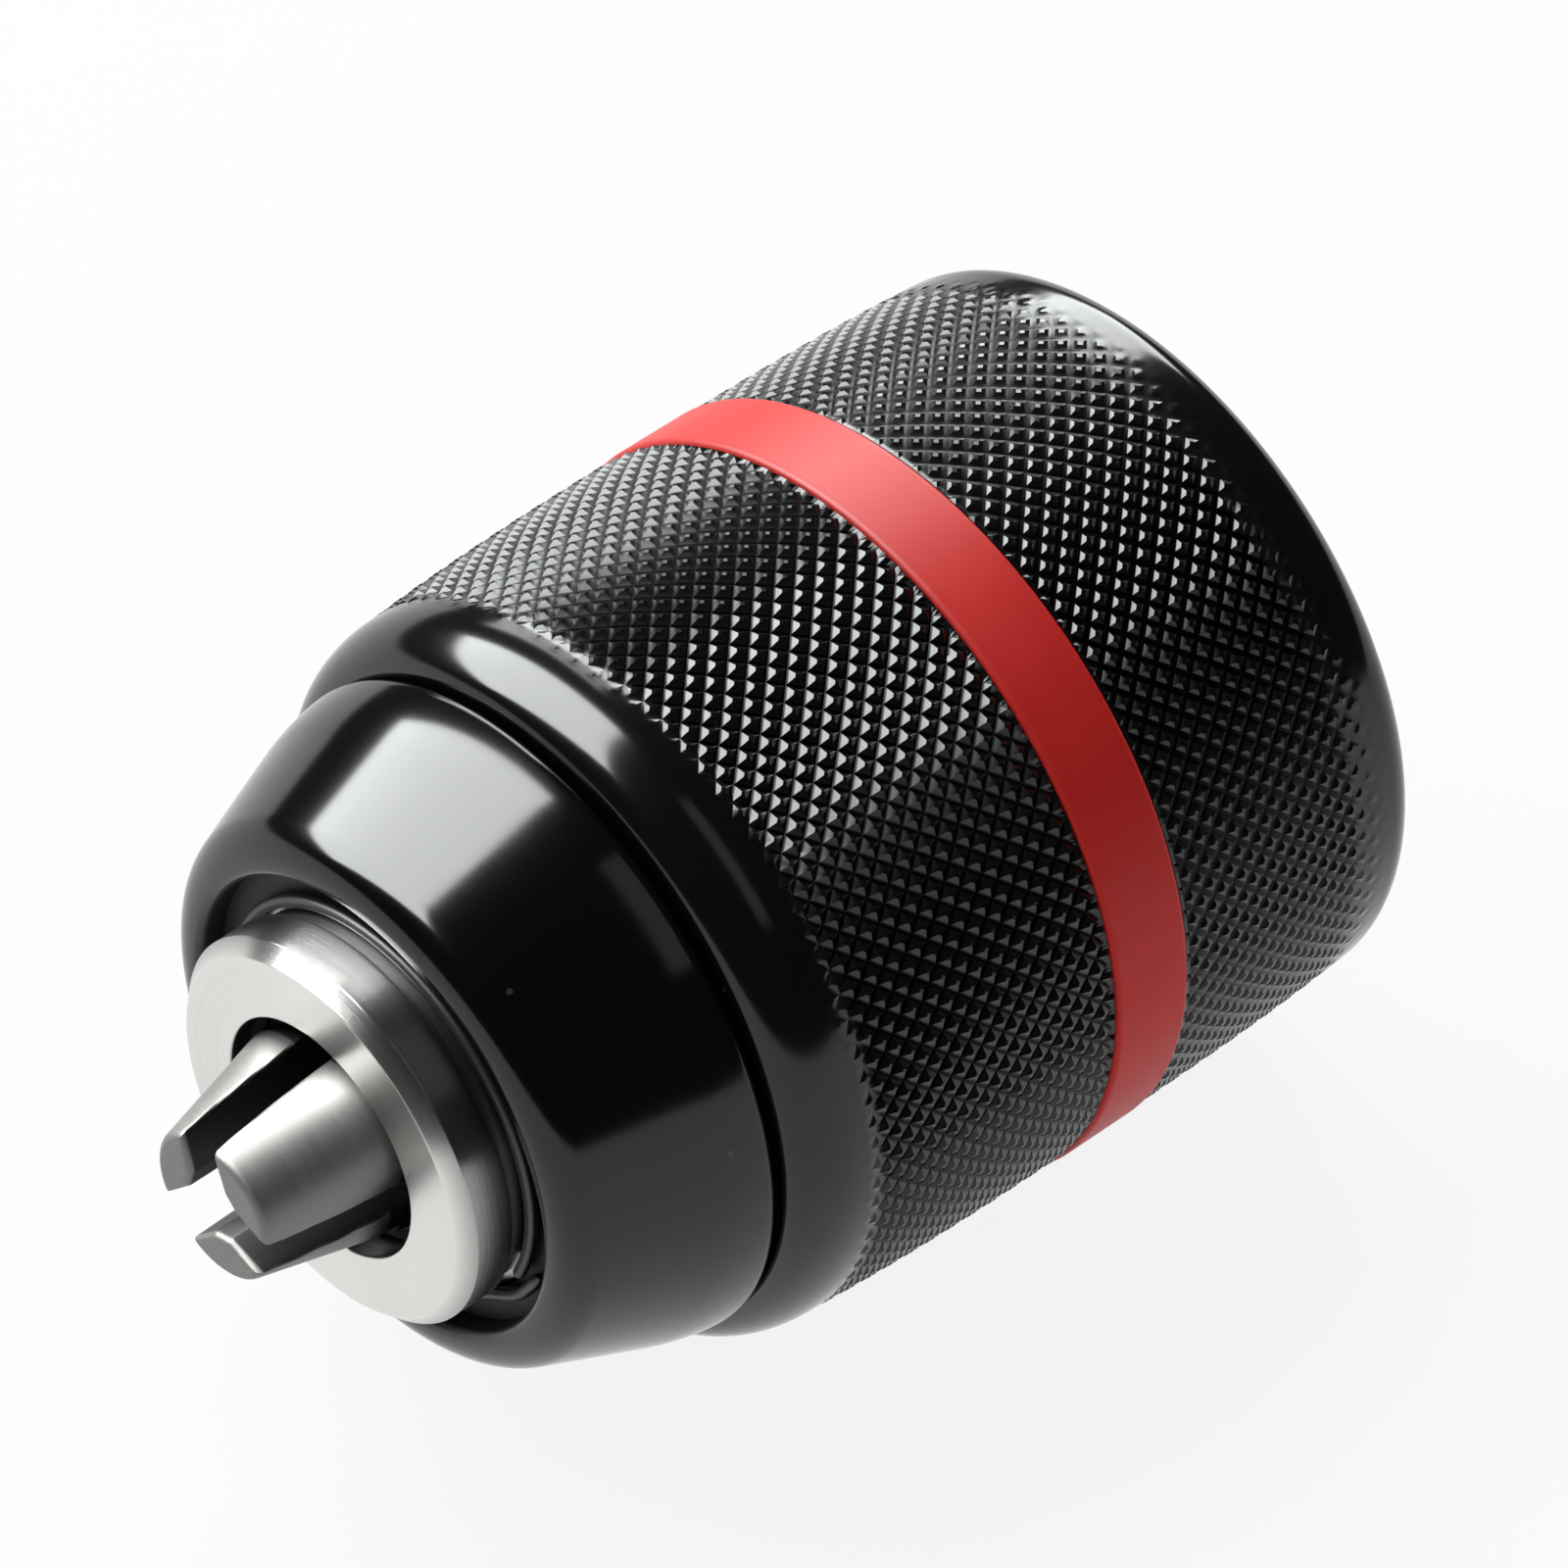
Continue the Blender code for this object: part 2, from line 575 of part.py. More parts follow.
def add_sleeve():
    """The gripping sleeve: crowned outside, with a seat for the colour ring and a bore for the nut."""
    front_z = SLEEVE_FRONT_Z - SLEEVE_FRONT_ROUND
    rear_z = SLEEVE_REAR_INSET + SLEEVE_REAR_ROUND
    front_r = sleeve_surface(front_z)
    rear_r = sleeve_surface(rear_z)
    outline = []
    for r, z in arc(0.0, 0.0, 1.0, 90, 0, 4):
        outline.append((front_r + SLEEVE_SHOULDER * (r - 1.0), front_z + SLEEVE_FRONT_ROUND * z))
    seat_front_z = RING_FRONT_Z + SEAT_GAP / 4
    seat_rear_z = RING_REAR_Z - SEAT_GAP / 4
    front_middle_z = (front_z + seat_front_z) / 2
    rear_middle_z = (seat_rear_z + rear_z) / 2
    outline.append((sleeve_surface(front_middle_z), front_middle_z))
    outline.append((sleeve_surface(seat_front_z), seat_front_z))
    outline.append((RING_SEAT - SEAT_GAP, seat_front_z))
    outline.append((RING_SEAT - SEAT_GAP, seat_rear_z))
    outline.append((sleeve_surface(seat_rear_z), seat_rear_z))
    outline.append((sleeve_surface(rear_middle_z), rear_middle_z))
    rear_in = rear_r - SLEEVE_BORE - SLEEVE_REAR_LAND
    for r, z in arc(0.0, 0.0, 1.0, 0, -90, 3):
        outline.append((rear_r + rear_in * (r - 1.0), rear_z + SLEEVE_REAR_ROUND * z))
    step_z = NUT_REAR_Z
    flange_z = NUT_FRONT_Z + SEAT_GAP
    guide = FRONT_RADIUS + RUNNING_GAP
    outline += [(SLEEVE_BORE, SLEEVE_REAR_INSET)]
    if SLEEVE_BORE > NUT_BORE:
        outline += [(SLEEVE_BORE, step_z), (NUT_BORE, step_z)]
    outline += [(NUT_BORE, flange_z), (guide, flange_z), (guide, SLEEVE_FRONT_Z)]
    turned_part("sleeve", outline, BLACK_STEEL, OUTER_STEPS)


def add_colour_ring():
    outline = [
        (RING_RADIUS - RING_BEVEL, RING_FRONT_Z),
        (RING_RADIUS, RING_FRONT_Z - RING_BEVEL),
        (RING_RADIUS, RING_REAR_Z + RING_BEVEL),
        (RING_RADIUS - RING_BEVEL, RING_REAR_Z),
        (RING_SEAT, RING_REAR_Z),
        (RING_SEAT, RING_FRONT_Z),
    ]
    turned_part("colour_ring", outline, RED_PLASTIC, OUTER_STEPS)


def add_hood():
    """A conical cover on the body's front, with a round lip and a flange that the snap ring holds.

    Its rear stretch is crowned: it falls below the cone by the square of the way over twice the radius.
    """
    lip_r = HOOD_MOUTH + HOOD_LIP_ROUND
    round_r = lip_r + HOOD_LIP_LAND
    round_z = HOOD_FRONT_Z - HOOD_FRONT_ROUND
    across = HOOD_REAR_RADIUS - round_r
    along = round_z - HOOD_REAR_Z
    taper = math.acos(HOOD_FRONT_ROUND / math.hypot(across, along)) - math.atan2(along, across)
    slope = math.tan(taper)
    outline = arc(round_r, round_z, HOOD_FRONT_ROUND, 90, math.degrees(taper), 3)
    edge_z = HOOD_REAR_Z + HOOD_REAR_ROUND
    crowned = HOOD_CROWN_LENGTH - HOOD_REAR_ROUND
    for step in range(HOOD_CROWN_STEPS):
        way = crowned * step / HOOD_CROWN_STEPS
        z = HOOD_REAR_Z + HOOD_CROWN_LENGTH - way
        outline.append((HOOD_REAR_RADIUS - slope * (z - HOOD_REAR_Z) - way**2 / (2 * HOOD_CROWN_RADIUS), z))
    fall = crowned**2 / (2 * HOOD_CROWN_RADIUS)
    edge_r = HOOD_REAR_RADIUS - slope * HOOD_REAR_ROUND - fall
    outline += arc(edge_r - HOOD_REAR_ROUND, edge_z, HOOD_REAR_ROUND, 0, -90, 2)
    inner_rear = edge_r - HOOD_WALL
    outline.append((inner_rear, HOOD_REAR_Z))
    inner_front = max(inner_rear - slope * (HOOD_FLANGE_Z - HOOD_REAR_Z), FRONT_RADIUS + RUNNING_GAP)
    outline.append((inner_front, HOOD_FLANGE_Z))
    outline.append((HOOD_BORE, HOOD_FLANGE_Z))
    outline.append((HOOD_BORE, HOOD_FLANGE_FRONT_Z))
    outline.append((HOOD_MOUTH, HOOD_FLANGE_FRONT_Z))
    outline += arc(lip_r, HOOD_FRONT_Z - HOOD_LIP_ROUND, HOOD_LIP_ROUND, 180, 90, 2)
    turned_part("hood", outline, BLACK_STEEL, OUTER_STEPS)


def add_snap_ring():
    """A spring wire of a little over one turn: after the ramp its outer end lies over its inner end."""
    sweep = 2 * math.pi + SNAP_OVERLAP
    ramp_from = 2 * math.pi - SNAP_RAMP
    curve = bpy.data.curves.new("snap_wire", "CURVE")
    curve.dimensions = "3D"
    curve.bevel_depth = SNAP_WIRE
    curve.bevel_resolution = 1
    curve.use_fill_caps = True
    spline = curve.splines.new("POLY")
    spline.points.add(SNAP_POINTS)
    for index, point in enumerate(spline.points):
        turned = sweep * index / SNAP_POINTS
        rise = min(max((turned - ramp_from) / SNAP_RAMP, 0.0), 1.0)
        past = max(turned - 2 * math.pi, 0.0) / SNAP_OVERLAP
        radius = SNAP_RADIUS + SNAP_STEP_OUT * rise + SNAP_OVERLAP_RISE * past
        angle = SNAP_INNER_END + turned
        point.co = (radius * math.cos(angle), radius * math.sin(angle), SNAP_Z, 1.0)
    wire = bpy.data.objects.new("snap_wire", curve)
    CUTTERS.objects.link(wire)
    bpy.context.view_layer.update()
    graph = bpy.context.evaluated_depsgraph_get()
    mesh = bpy.data.meshes.new_from_object(wire.evaluated_get(graph))
    bm = bmesh.new()
    bm.from_mesh(mesh)
    bmesh.ops.remove_doubles(bm, verts=bm.verts[:], dist=1e-7)
    bm.to_mesh(mesh)
    bm.free()
    bpy.data.objects.remove(wire)
    add_part("snap_ring", mesh, SPRING_STEEL)


def add_rear_cover():
    """A pressed steel plate on the body's hub that closes the sleeve's rear."""
    inner = HUB_RADIUS + PRESS_GAP
    outer = SLEEVE_BORE - RUNNING_GAP
    front_z = HUB_LENGTH - SEAT_GAP
    rear_z = front_z - COVER_THICKNESS
    outline = [
        (outer, front_z),
        (outer, rear_z + COVER_LIP),
        (outer - COVER_LIP, rear_z),
        (inner, rear_z),
        (inner, front_z),
    ]
    turned_part("rear_cover", outline, STEEL)


add_body()
for jaw_index in range(JAW_COUNT):
    add_jaw(jaw_index)
add_nut()
add_nut_ring()
add_bearing()
add_sleeve()
add_colour_ring()
add_hood()
add_snap_ring()
add_rear_cover()
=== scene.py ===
"""Looks of a keyless drill chuck that lies on its side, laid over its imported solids.

Shapes are worked out in the chuck's own frame, in millimetres: z runs forward along the axis from the
spindle seat, and x and y lie across it. lay_down() carries that frame into the scene, in metres.
"""

import math

import bpy
import numpy as np
from mathutils import Matrix, Vector


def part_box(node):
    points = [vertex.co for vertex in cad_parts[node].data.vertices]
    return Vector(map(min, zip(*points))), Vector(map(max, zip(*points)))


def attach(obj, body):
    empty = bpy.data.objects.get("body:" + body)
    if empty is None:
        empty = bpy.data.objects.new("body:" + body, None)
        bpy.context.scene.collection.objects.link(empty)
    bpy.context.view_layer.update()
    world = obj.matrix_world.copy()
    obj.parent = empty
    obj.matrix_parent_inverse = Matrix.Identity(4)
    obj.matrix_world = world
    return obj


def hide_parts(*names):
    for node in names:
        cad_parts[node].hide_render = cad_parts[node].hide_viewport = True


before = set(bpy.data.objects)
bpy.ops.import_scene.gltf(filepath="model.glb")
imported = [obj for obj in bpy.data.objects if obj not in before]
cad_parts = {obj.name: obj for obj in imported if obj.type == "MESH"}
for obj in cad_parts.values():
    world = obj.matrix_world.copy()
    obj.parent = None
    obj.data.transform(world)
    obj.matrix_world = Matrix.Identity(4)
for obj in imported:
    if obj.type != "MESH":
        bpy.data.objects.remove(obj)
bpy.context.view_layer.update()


# Sizes taken from the frame


MM_PER_M = 1000.0
SEAT_Y = MM_PER_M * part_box("chuck_body")[1].y
AXIS_HEIGHT = MM_PER_M / 2 * (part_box("colour_ring")[0].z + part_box("colour_ring")[1].z)


def span(cad_node):
    """A turned node's rear and front along the axis, and its radius."""
    low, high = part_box(cad_node)
    return SEAT_Y - MM_PER_M * high.y, SEAT_Y - MM_PER_M * low.y, MM_PER_M / 2 * (high.x - low.x)


NOSE_FRONT = span("chuck_body")[1]
BODY_RADIUS = span("chuck_body")[2]
SLEEVE_REAR, SLEEVE_FRONT, SLEEVE_RADIUS = span("sleeve")
RING_REAR, RING_FRONT, _ = span("colour_ring")
# The ring's box is a little less high than wide, and the round ring lies inside it
RING_RADIUS = AXIS_HEIGHT
HOOD_REAR, HOOD_FRONT, _ = span("hood")
NUT_REAR, NUT_FRONT, NUT_RING_RADIUS = span("nut_ring")
JAW_TIP = span("jaw_1")[1]

# Sizes of forms that no box shows

SLEEVE_BORE = 18.9
SLEEVE_GUIDE = 13.9
SLEEVE_STEP_Z = 32.8
SLEEVE_CROWN = 0.98
SHOULDER_LENGTH = 3.7
SHOULDER_DEPTH = 2.3
REAR_ROUND_LENGTH = 2.0
REAR_ROUND_DEPTH = 1.95
SHOULDER_STEPS = 22
REAR_ROUND_STEPS = 12
SLEEVE_MOUTH_EDGE = 0.25
RING_SEAT = 20.0
RING_EDGE = 0.35
RING_EDGE_STEPS = 6
RING_SHARP_ANGLE = 50.0
RING_GAP = 0.05
RING_LIP_DROP = 0.15
SEAT_GAP = 0.2

KNURL_TEETH = 94
KNURL_PARTS = 3
KNURL_LINES = 2 * KNURL_PARTS
KNURL_SLOPE = math.radians(36.0)
KNURL_FRONT_SIDES = (0.4, 2.4)
KNURL_REAR_SIDES = (0.95, 2.25)
KNURL_FOOT_SHARE = 0.85
KNURL_FRONT = 39.7
KNURL_FRONT_FADE = 1.6
KNURL_REAR = 3.3
KNURL_REAR_FADE = 3.2
KNURL_MARGIN = 0.3
KNURL_SHARP_ANGLE = 15.0

HOOD_STEP = 1.95
HOOD_MOUTH = 13.05
HOOD_BORE = 11.3
HOOD_FRONT_ROUND = 2.4
HOOD_LIP_ROUND = 0.5
HOOD_LIP_LAND = 0.1
HOOD_REAR_ROUND = 0.5
HOOD_CROWN_RADIUS = 13.0
HOOD_CROWN_LENGTH = 3.8
HOOD_WALL = 1.6
FLANGE_REAR = 50.95
FLANGE_FRONT = 52.95
HOOD_ROUND_STEPS = 20
HOOD_CROWN_STEPS = 16
HOOD_EDGE_STEPS = 8
HOOD_SHARP_ANGLE = 40.0

NOSE_RADIUS = 11.1
NOSE_CHAMFER = 0.8
NOSE_REAR = 54.55
SNAP_GROOVE = 10.7
BIT_BORE = 6.87
BIT_BORE_DEPTH = 19.0
SHOULDER_Z = 50.75
FRONT_RADIUS = 13.6
NUT_GROOVE_FRONT = 39.1
NUT_GROOVE_REAR = 32.4
NUT_GROOVE_RADII = (9.95, 11.71)
LAND_RADIUS = 14.89
LAND_REAR = 28.4
HUB_RADIUS = 12.5
HUB_FRONT = 3.6
SOCKET_RADIUS = 5.75
SOCKET_DEPTH = 16.0
SOCKET_MOUTH = 6.35
SCREW_HOLE = 3.2
THREAD_PITCH = 1.27
THREAD_DEPTH = 0.55
THREAD_STEPS = 10
THREAD_START = 0.7
THREAD_END = SOCKET_DEPTH - 0.1
THREAD_SLOPE = 2.3
THREAD_LAND = 0.07
THREAD_RUN_IN_START = 0.4
THREAD_RUN_IN = 0.8
THREAD_RUN_OUT = 1.2
BODY_STEP = 1.6
BODY_COLUMNS = 160
BORE_MOUTH = 1.7
BORE_EDGE = 0.12
NOSE_EDGE = 0.06
NOSE_BACK_EDGE = 0.12
SHOULDER_EDGE = 0.3
BODY_EDGE = 0.2
HUB_EDGE = 0.35
SOCKET_EDGE = 0.1
SMALL_EDGE_STEPS = 4

SLANT = math.radians(15.0)
JAW_RADIUS = 3.75
JAW_TIP_OFFSET = 0.37
JAW_ANGLES = np.radians([45.0, 165.0, 285.0])
JAW_REAR = 27.9
JAW_TIP_ROUND = 0.4
JAW_TIP_STEPS = 6
JAW_TIP_INSET = 0.9
JAW_TIP_LAND = 0.05
JAW_END_INSET = 0.6
JAW_BEVEL = 36.0
JAW_COLUMNS = 160
JAW_PLAIN_ROWS = 12
JAW_PLAIN_FRONT = 0.5
JAW_PLAIN_REAR = 0.6
JAW_TOOTH_LEAD = 0.45
JAW_ROW_STEP = 0.14
JAW_SHARP_ANGLE = 30.0
JAW_INNER_SHARE = 0.55
JAW_FAR_WALL = 100.0
JAW_LEAST_REACH = 0.05
JAW_LEAST_LIMIT = 1e-3
JAW_LEAST_LEAN = 1e-4
JAW_NO_LIMIT = 1e3
PASSAGE_RADIUS = 3.9
PASSAGE_COLUMNS = 96
PASSAGE_AHEAD = 4.3
PASSAGE_BEHIND = 4.0
GRIP_HALF_ANGLE = math.radians(60.0)
GRIP_APEX = 1.5
GRIP_LAND = 1.85
NUT_MIDDLE = (NUT_REAR + NUT_FRONT) / 2
TOOTH_PITCH = 2.0 * math.cos(SLANT)
TOOTH_DEPTH = 0.9
TOOTH_MOUTH_HALF = 0.7
TOOTH_FLANK = 0.25
TOOTH_FRONT = 57.0

SNAP_RADIUS = 11.25
SNAP_WIRE = 0.35
SNAP_Z = 53.5
SNAP_START = math.radians(-27.0)
SNAP_RAMP = math.radians(21.0)
SNAP_OVERLAP = math.radians(9.0)
SNAP_STEP_OUT = 0.85
SNAP_RISE = 0.3
SNAP_ROWS = 320
SNAP_COLUMNS = 16
SNAP_END_SHARE = 0.25
SNAP_END_LENGTH = 0.5
SNAP_SHARP_ANGLE = 60.0

WASHER_BORE = 15.19
NUT_RING_BORE = 16.56
COVER_BORE = 12.7
BALLS = 16
BALL_RADIUS = 1.1
BALL_RINGS = 20
BALL_COLUMNS = 32
BALL_POLE = 1.52
BALL_SHARP_ANGLE = 80.0

COVER_EDGE = 0.3
WASHER_EDGE = 0.12
NUT_RING_EDGE = 0.15

TURNED_COLUMNS = 256
INNER_COLUMNS = 128
SMOOTH_ANGLE = 32.0
COPY_SHARP_ANGLE = 30.0
FILLET_SHARE = 0.78
FLAT_GUARD = 0.08
FLAT_GUARD_SHARE = 0.4


# Shapes


def lay_down(x, y, z):
    """World points in metres: the chuck's z goes to -Y from the seat, its y goes up from the axis."""
    x, y, z = np.broadcast_arrays(x, y, z)
    return np.stack([x, SEAT_Y - z, AXIS_HEIGHT + y], -1) / MM_PER_M


def grid_faces(rows, columns, close_rows=False):
    """Quads of a grid whose rows run down an outer side and whose columns go once round, anticlockwise."""
    i = np.arange(rows if close_rows else rows - 1)[:, None]
    j = np.arange(columns)[None, :]
    below = (i + 1) % rows
    beside = (j + 1) % columns
    corners = [i * columns + j, below * columns + j, below * columns + beside, i * columns + beside]
    return np.stack([np.broadcast_to(c, (i.size, j.size)) for c in corners], -1).reshape(-1, 4)


def end_caps(rows, columns):
    """One flat face on the first row and one on the last row of an open grid."""
    around = np.arange(columns)[None, :]
    return [around, (rows - 1) * columns + around[:, ::-1]]


def make_mesh(name, points, faces, sharp_angle=SMOOTH_ANGLE):
    """A mesh from a point array and one or more face arrays, smooth up to the sharp angle."""
    points = np.asarray(points, np.float32).reshape(-1, 3)
    kinds = faces if isinstance(faces, list) else [faces]
    corners = np.concatenate([kind.ravel() for kind in kinds]).astype(np.int32)
    sizes = np.concatenate([np.full(len(kind), kind.shape[1]) for kind in kinds])
    starts = np.concatenate([[0], np.cumsum(sizes)[:-1]]).astype(np.int32)
    mesh = bpy.data.meshes.new(name)
    mesh.vertices.add(len(points))
    mesh.vertices.foreach_set("co", points.ravel())
    mesh.loops.add(len(corners))
    mesh.loops.foreach_set("vertex_index", corners)
    mesh.polygons.add(len(starts))
    mesh.polygons.foreach_set("loop_start", starts)
    mesh.update(calc_edges=True)
    mesh.shade_smooth()
    mesh.set_sharp_from_angle(angle=math.radians(sharp_angle))
    return mesh


def add_piece(name, mesh, material, body, slot, *nodes):
    """Puts a mesh in the scene, rides it on a body and hides the CAD nodes that it stands in for."""
    piece = bpy.data.objects.new(name, mesh)
    bpy.context.scene.collection.objects.link(piece)
    mesh.materials.clear()
    mesh.materials.append(material)
    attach(piece, body)
    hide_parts(*nodes)
    return piece


def round_arc(r, z, r_radius, z_radius, start, end, steps):
    """Points (r, z) of an elliptic arc about a centre, from a start to an end angle in degrees."""
    angle = np.radians(np.linspace(start, end, steps + 1))
    return np.stack([r + r_radius * np.cos(angle), z + z_radius * np.sin(angle)], -1)


def filleted(corners, steps):
    """Closed outline of (r, z) points: each corner (r, z, fillet) becomes an arc between its two sides.

    A point a little way before and after each arc keeps the flats beside it flat in the shading.
    """
    outline = []
    count = len(corners)
    for index, (r, z, fillet) in enumerate(corners):
        corner = np.array([r, z])
        sides = [np.array(corners[(index + turn) % count][:2]) - corner for turn in (-1, 1)]
        lengths = [np.linalg.norm(side) for side in sides]
        before, after = (side / length for side, length in zip(sides, lengths))
        half = math.acos(float(np.clip(before @ after, -1.0, 1.0))) / 2
        if fillet <= 0:
            outline.append(corner[None])
            continue
        reach = min(fillet / math.tan(half), FILLET_SHARE * min(lengths))
        radius = reach * math.tan(half)
        centre = corner + (before + after) / np.linalg.norm(before + after) * radius / math.sin(half)
        turn = math.pi - 2 * half
        share = np.linspace(0.0, 1.0, steps + 1)[:, None]
        start, end = corner + before * reach - centre, corner + after * reach - centre
        arc = (np.sin((1 - share) * turn) * start + np.sin(share * turn) * end) / math.sin(turn)
        room = [min(FLAT_GUARD, FLAT_GUARD_SHARE * (length - reach)) for length in lengths]
        entry, leave = corner + before * (reach + room[0]), corner + after * (reach + room[1])
        outline += [entry[None], centre + arc, leave[None]]
    return np.concatenate(outline)


def with_rows(outline, longest):
    """An open outline with points added evenly on each stretch, so that no step is longer than a length."""
    steps = np.diff(outline, axis=0)
    counts = np.ceil(np.linalg.norm(steps, axis=1) / longest).astype(int)
    stretch = np.repeat(np.arange(len(steps)), counts)
    share = (np.arange(len(stretch)) - (np.cumsum(counts) - counts)[stretch]) / counts[stretch]
    return np.concatenate([outline[stretch] + share[:, None] * steps[stretch], outline[-1:]])


def turned_mesh(name, outline, columns, sharp_angle=SMOOTH_ANGLE):
    """A turned piece: every point (r, z) of a closed outline goes once round the axis."""
    angle = 2 * np.pi * np.arange(columns) / columns
    r, z = outline[:, 0, None], outline[:, 1, None]
    points = lay_down(r * np.cos(angle), r * np.sin(angle), z)
    return make_mesh(name, points, grid_faces(len(outline), columns, close_rows=True), sharp_angle)


def smooth_step(value):
    """A rise from 0 to 1 that is level at both ends."""
    value = np.clip(value, 0.0, 1.0)
    return value * value * (3 - 2 * value)


def jaw_centre(z):
    """Distance of a jaw rod's centre line from the axis: it slants in towards the tip."""
    return JAW_TIP_OFFSET + math.tan(SLANT) * (JAW_TIP - z)


def jaw_back(z):
    """Distance of a jaw's back from the axis."""
    return jaw_centre(z) + JAW_RADIUS / math.cos(SLANT)


def turned_to(angle, rho, tau):
    """Carries distances out from the axis and across to x and y at an angle round the axis."""
    return rho * math.cos(angle) - tau * math.sin(angle), rho * math.sin(angle) + tau * math.cos(angle)


def sleeve_surface(z):
    """Radius of the sleeve's outside, which falls off with the cube of the way from its ring."""
    middle = (RING_REAR + RING_FRONT) / 2
    return SLEEVE_RADIUS - SLEEVE_CROWN * (np.abs(z - middle) / (SLEEVE_FRONT - middle)) ** 3


def knurl_shift(line, foot, top):
    """Shift of a knurl line, in steps: those beside a groove go to its foot, the others to its top."""
    shifts = np.array([0.0, 2 - top, 1 - foot, 0.0, foot - 1, top - 2])
    return shifts[line % KNURL_LINES]


def knurl_cut(rising, falling):
    """Two crossing families of grooves: the deeper of the two, with a slight V between a groove's feet."""
    depths = np.array([0.0, 0.0, KNURL_FOOT_SHARE, 1.0, KNURL_FOOT_SHARE, 0.0])
    return np.maximum(depths[rising % KNURL_LINES], depths[falling % KNURL_LINES])


def sleeve_mesh():
    """The sleeve: a turned outline with two knurled bands.

    The knurl's lines lie on the diagonals of the grid. They are shifted to the foot and top of each
    groove's side, and the shift and the depth fade at the outer end of each band.
    """
    columns = KNURL_LINES * KNURL_TEETH
    step = math.pi * SLEEVE_RADIUS / KNURL_TEETH / KNURL_PARTS
    shoulder_z = SLEEVE_FRONT - SHOULDER_LENGTH
    shoulder_r = sleeve_surface(shoulder_z) - SHOULDER_DEPTH
    shoulder = round_arc(shoulder_r, shoulder_z, SHOULDER_DEPTH, SHOULDER_LENGTH, 90, 0, SHOULDER_STEPS)
    front_z = np.arange(shoulder_z - step, RING_FRONT + KNURL_MARGIN, -step)
    seat_front, seat_rear = RING_FRONT + RING_GAP, RING_REAR - RING_GAP
    lip = sleeve_surface(seat_front) - RING_LIP_DROP
    seat = np.array([[lip, seat_front], [RING_SEAT, seat_front], [RING_SEAT, seat_rear], [lip, seat_rear]])
    rear_z = np.arange(RING_REAR - KNURL_MARGIN, KNURL_REAR, -step)
    round_z = SLEEVE_REAR + REAR_ROUND_LENGTH
    round_r = sleeve_surface(round_z) - REAR_ROUND_DEPTH
    rear = round_arc(round_r, round_z, REAR_ROUND_DEPTH, REAR_ROUND_LENGTH, 0, -90, REAR_ROUND_STEPS)
    flange = NUT_FRONT + SEAT_GAP
    nut_seat = NUT_RING_RADIUS + SEAT_GAP
    inside = np.array(
        [
            [SLEEVE_BORE, SLEEVE_REAR],
            [SLEEVE_BORE, SLEEVE_STEP_Z],
            [nut_seat, SLEEVE_STEP_Z],
            [nut_seat, flange],
            [SLEEVE_GUIDE, flange],
            [SLEEVE_GUIDE, SLEEVE_FRONT - SLEEVE_MOUTH_EDGE],
            [SLEEVE_GUIDE + SLEEVE_MOUTH_EDGE, SLEEVE_FRONT],
        ]
    )
    front_band = np.stack([sleeve_surface(front_z), front_z], -1)
    rear_band = np.stack([sleeve_surface(rear_z), rear_z], -1)
    outline = np.concatenate([shoulder, front_band, seat, rear_band, rear, inside])
    first = len(shoulder)
    second = first + len(front_band) + len(seat)
    row = np.arange(len(outline))[:, None] - first
    column = np.arange(columns)[None, :]
    share = np.zeros((len(outline), columns))
    cut = np.zeros((len(outline), columns))
    along = np.repeat(outline[:, 1, None], columns, 1)
    around = np.repeat(column.astype(float), len(outline), 0)
    fade_front = smooth_step((KNURL_FRONT - front_z) / KNURL_FRONT_FADE)
    fade_rear = smooth_step((rear_z - KNURL_REAR) / KNURL_REAR_FADE)
    bands = ((first, fade_front, KNURL_FRONT_SIDES), (second, fade_rear, KNURL_REAR_SIDES))
    for start, fade, (foot, top) in bands:
        band = slice(start, start + len(fade))
        rising, falling = column + row[band], column - row[band]
        warp_rising = knurl_shift(rising, foot, top)
        warp_falling = knurl_shift(falling, foot, top)
        side = (top - foot) * step / math.sqrt(2)
        depth = side * math.tan(KNURL_SLOPE) / KNURL_FOOT_SHARE
        share[band] = fade[:, None] * knurl_cut(rising, falling)
        cut[band] = depth * share[band]
        around[band] += fade[:, None] * (warp_rising + warp_falling) / 2
        along[band] -= fade[:, None] * (warp_rising - warp_falling) / 2 * step
    theta = 2 * np.pi * around / columns
    r = outline[:, 0, None] - cut
    points = lay_down(r * np.cos(theta), r * np.sin(theta), along)
    quads = grid_faces(len(outline), columns, close_rows=True)
    # A quad of the knurl is split along its groove, which runs one way or the other in alternate blocks
    rises = ((row // KNURL_PARTS + column // KNURL_PARTS) % 2 == 0).reshape(-1, 1)
    split = np.where(rises, quads[:, [0, 1, 3, 1, 2, 3]], quads[:, [0, 1, 2, 0, 2, 3]])
    mesh = make_mesh("sleeve_knurled", points, split.reshape(-1, 3), KNURL_SHARP_ANGLE)
    # The groove share also places the painted shade in the grooves.
    groove = mesh.attributes.new("groove", "FLOAT", "POINT")
    groove.data.foreach_set("value", share.astype(np.float32).ravel())
    return mesh


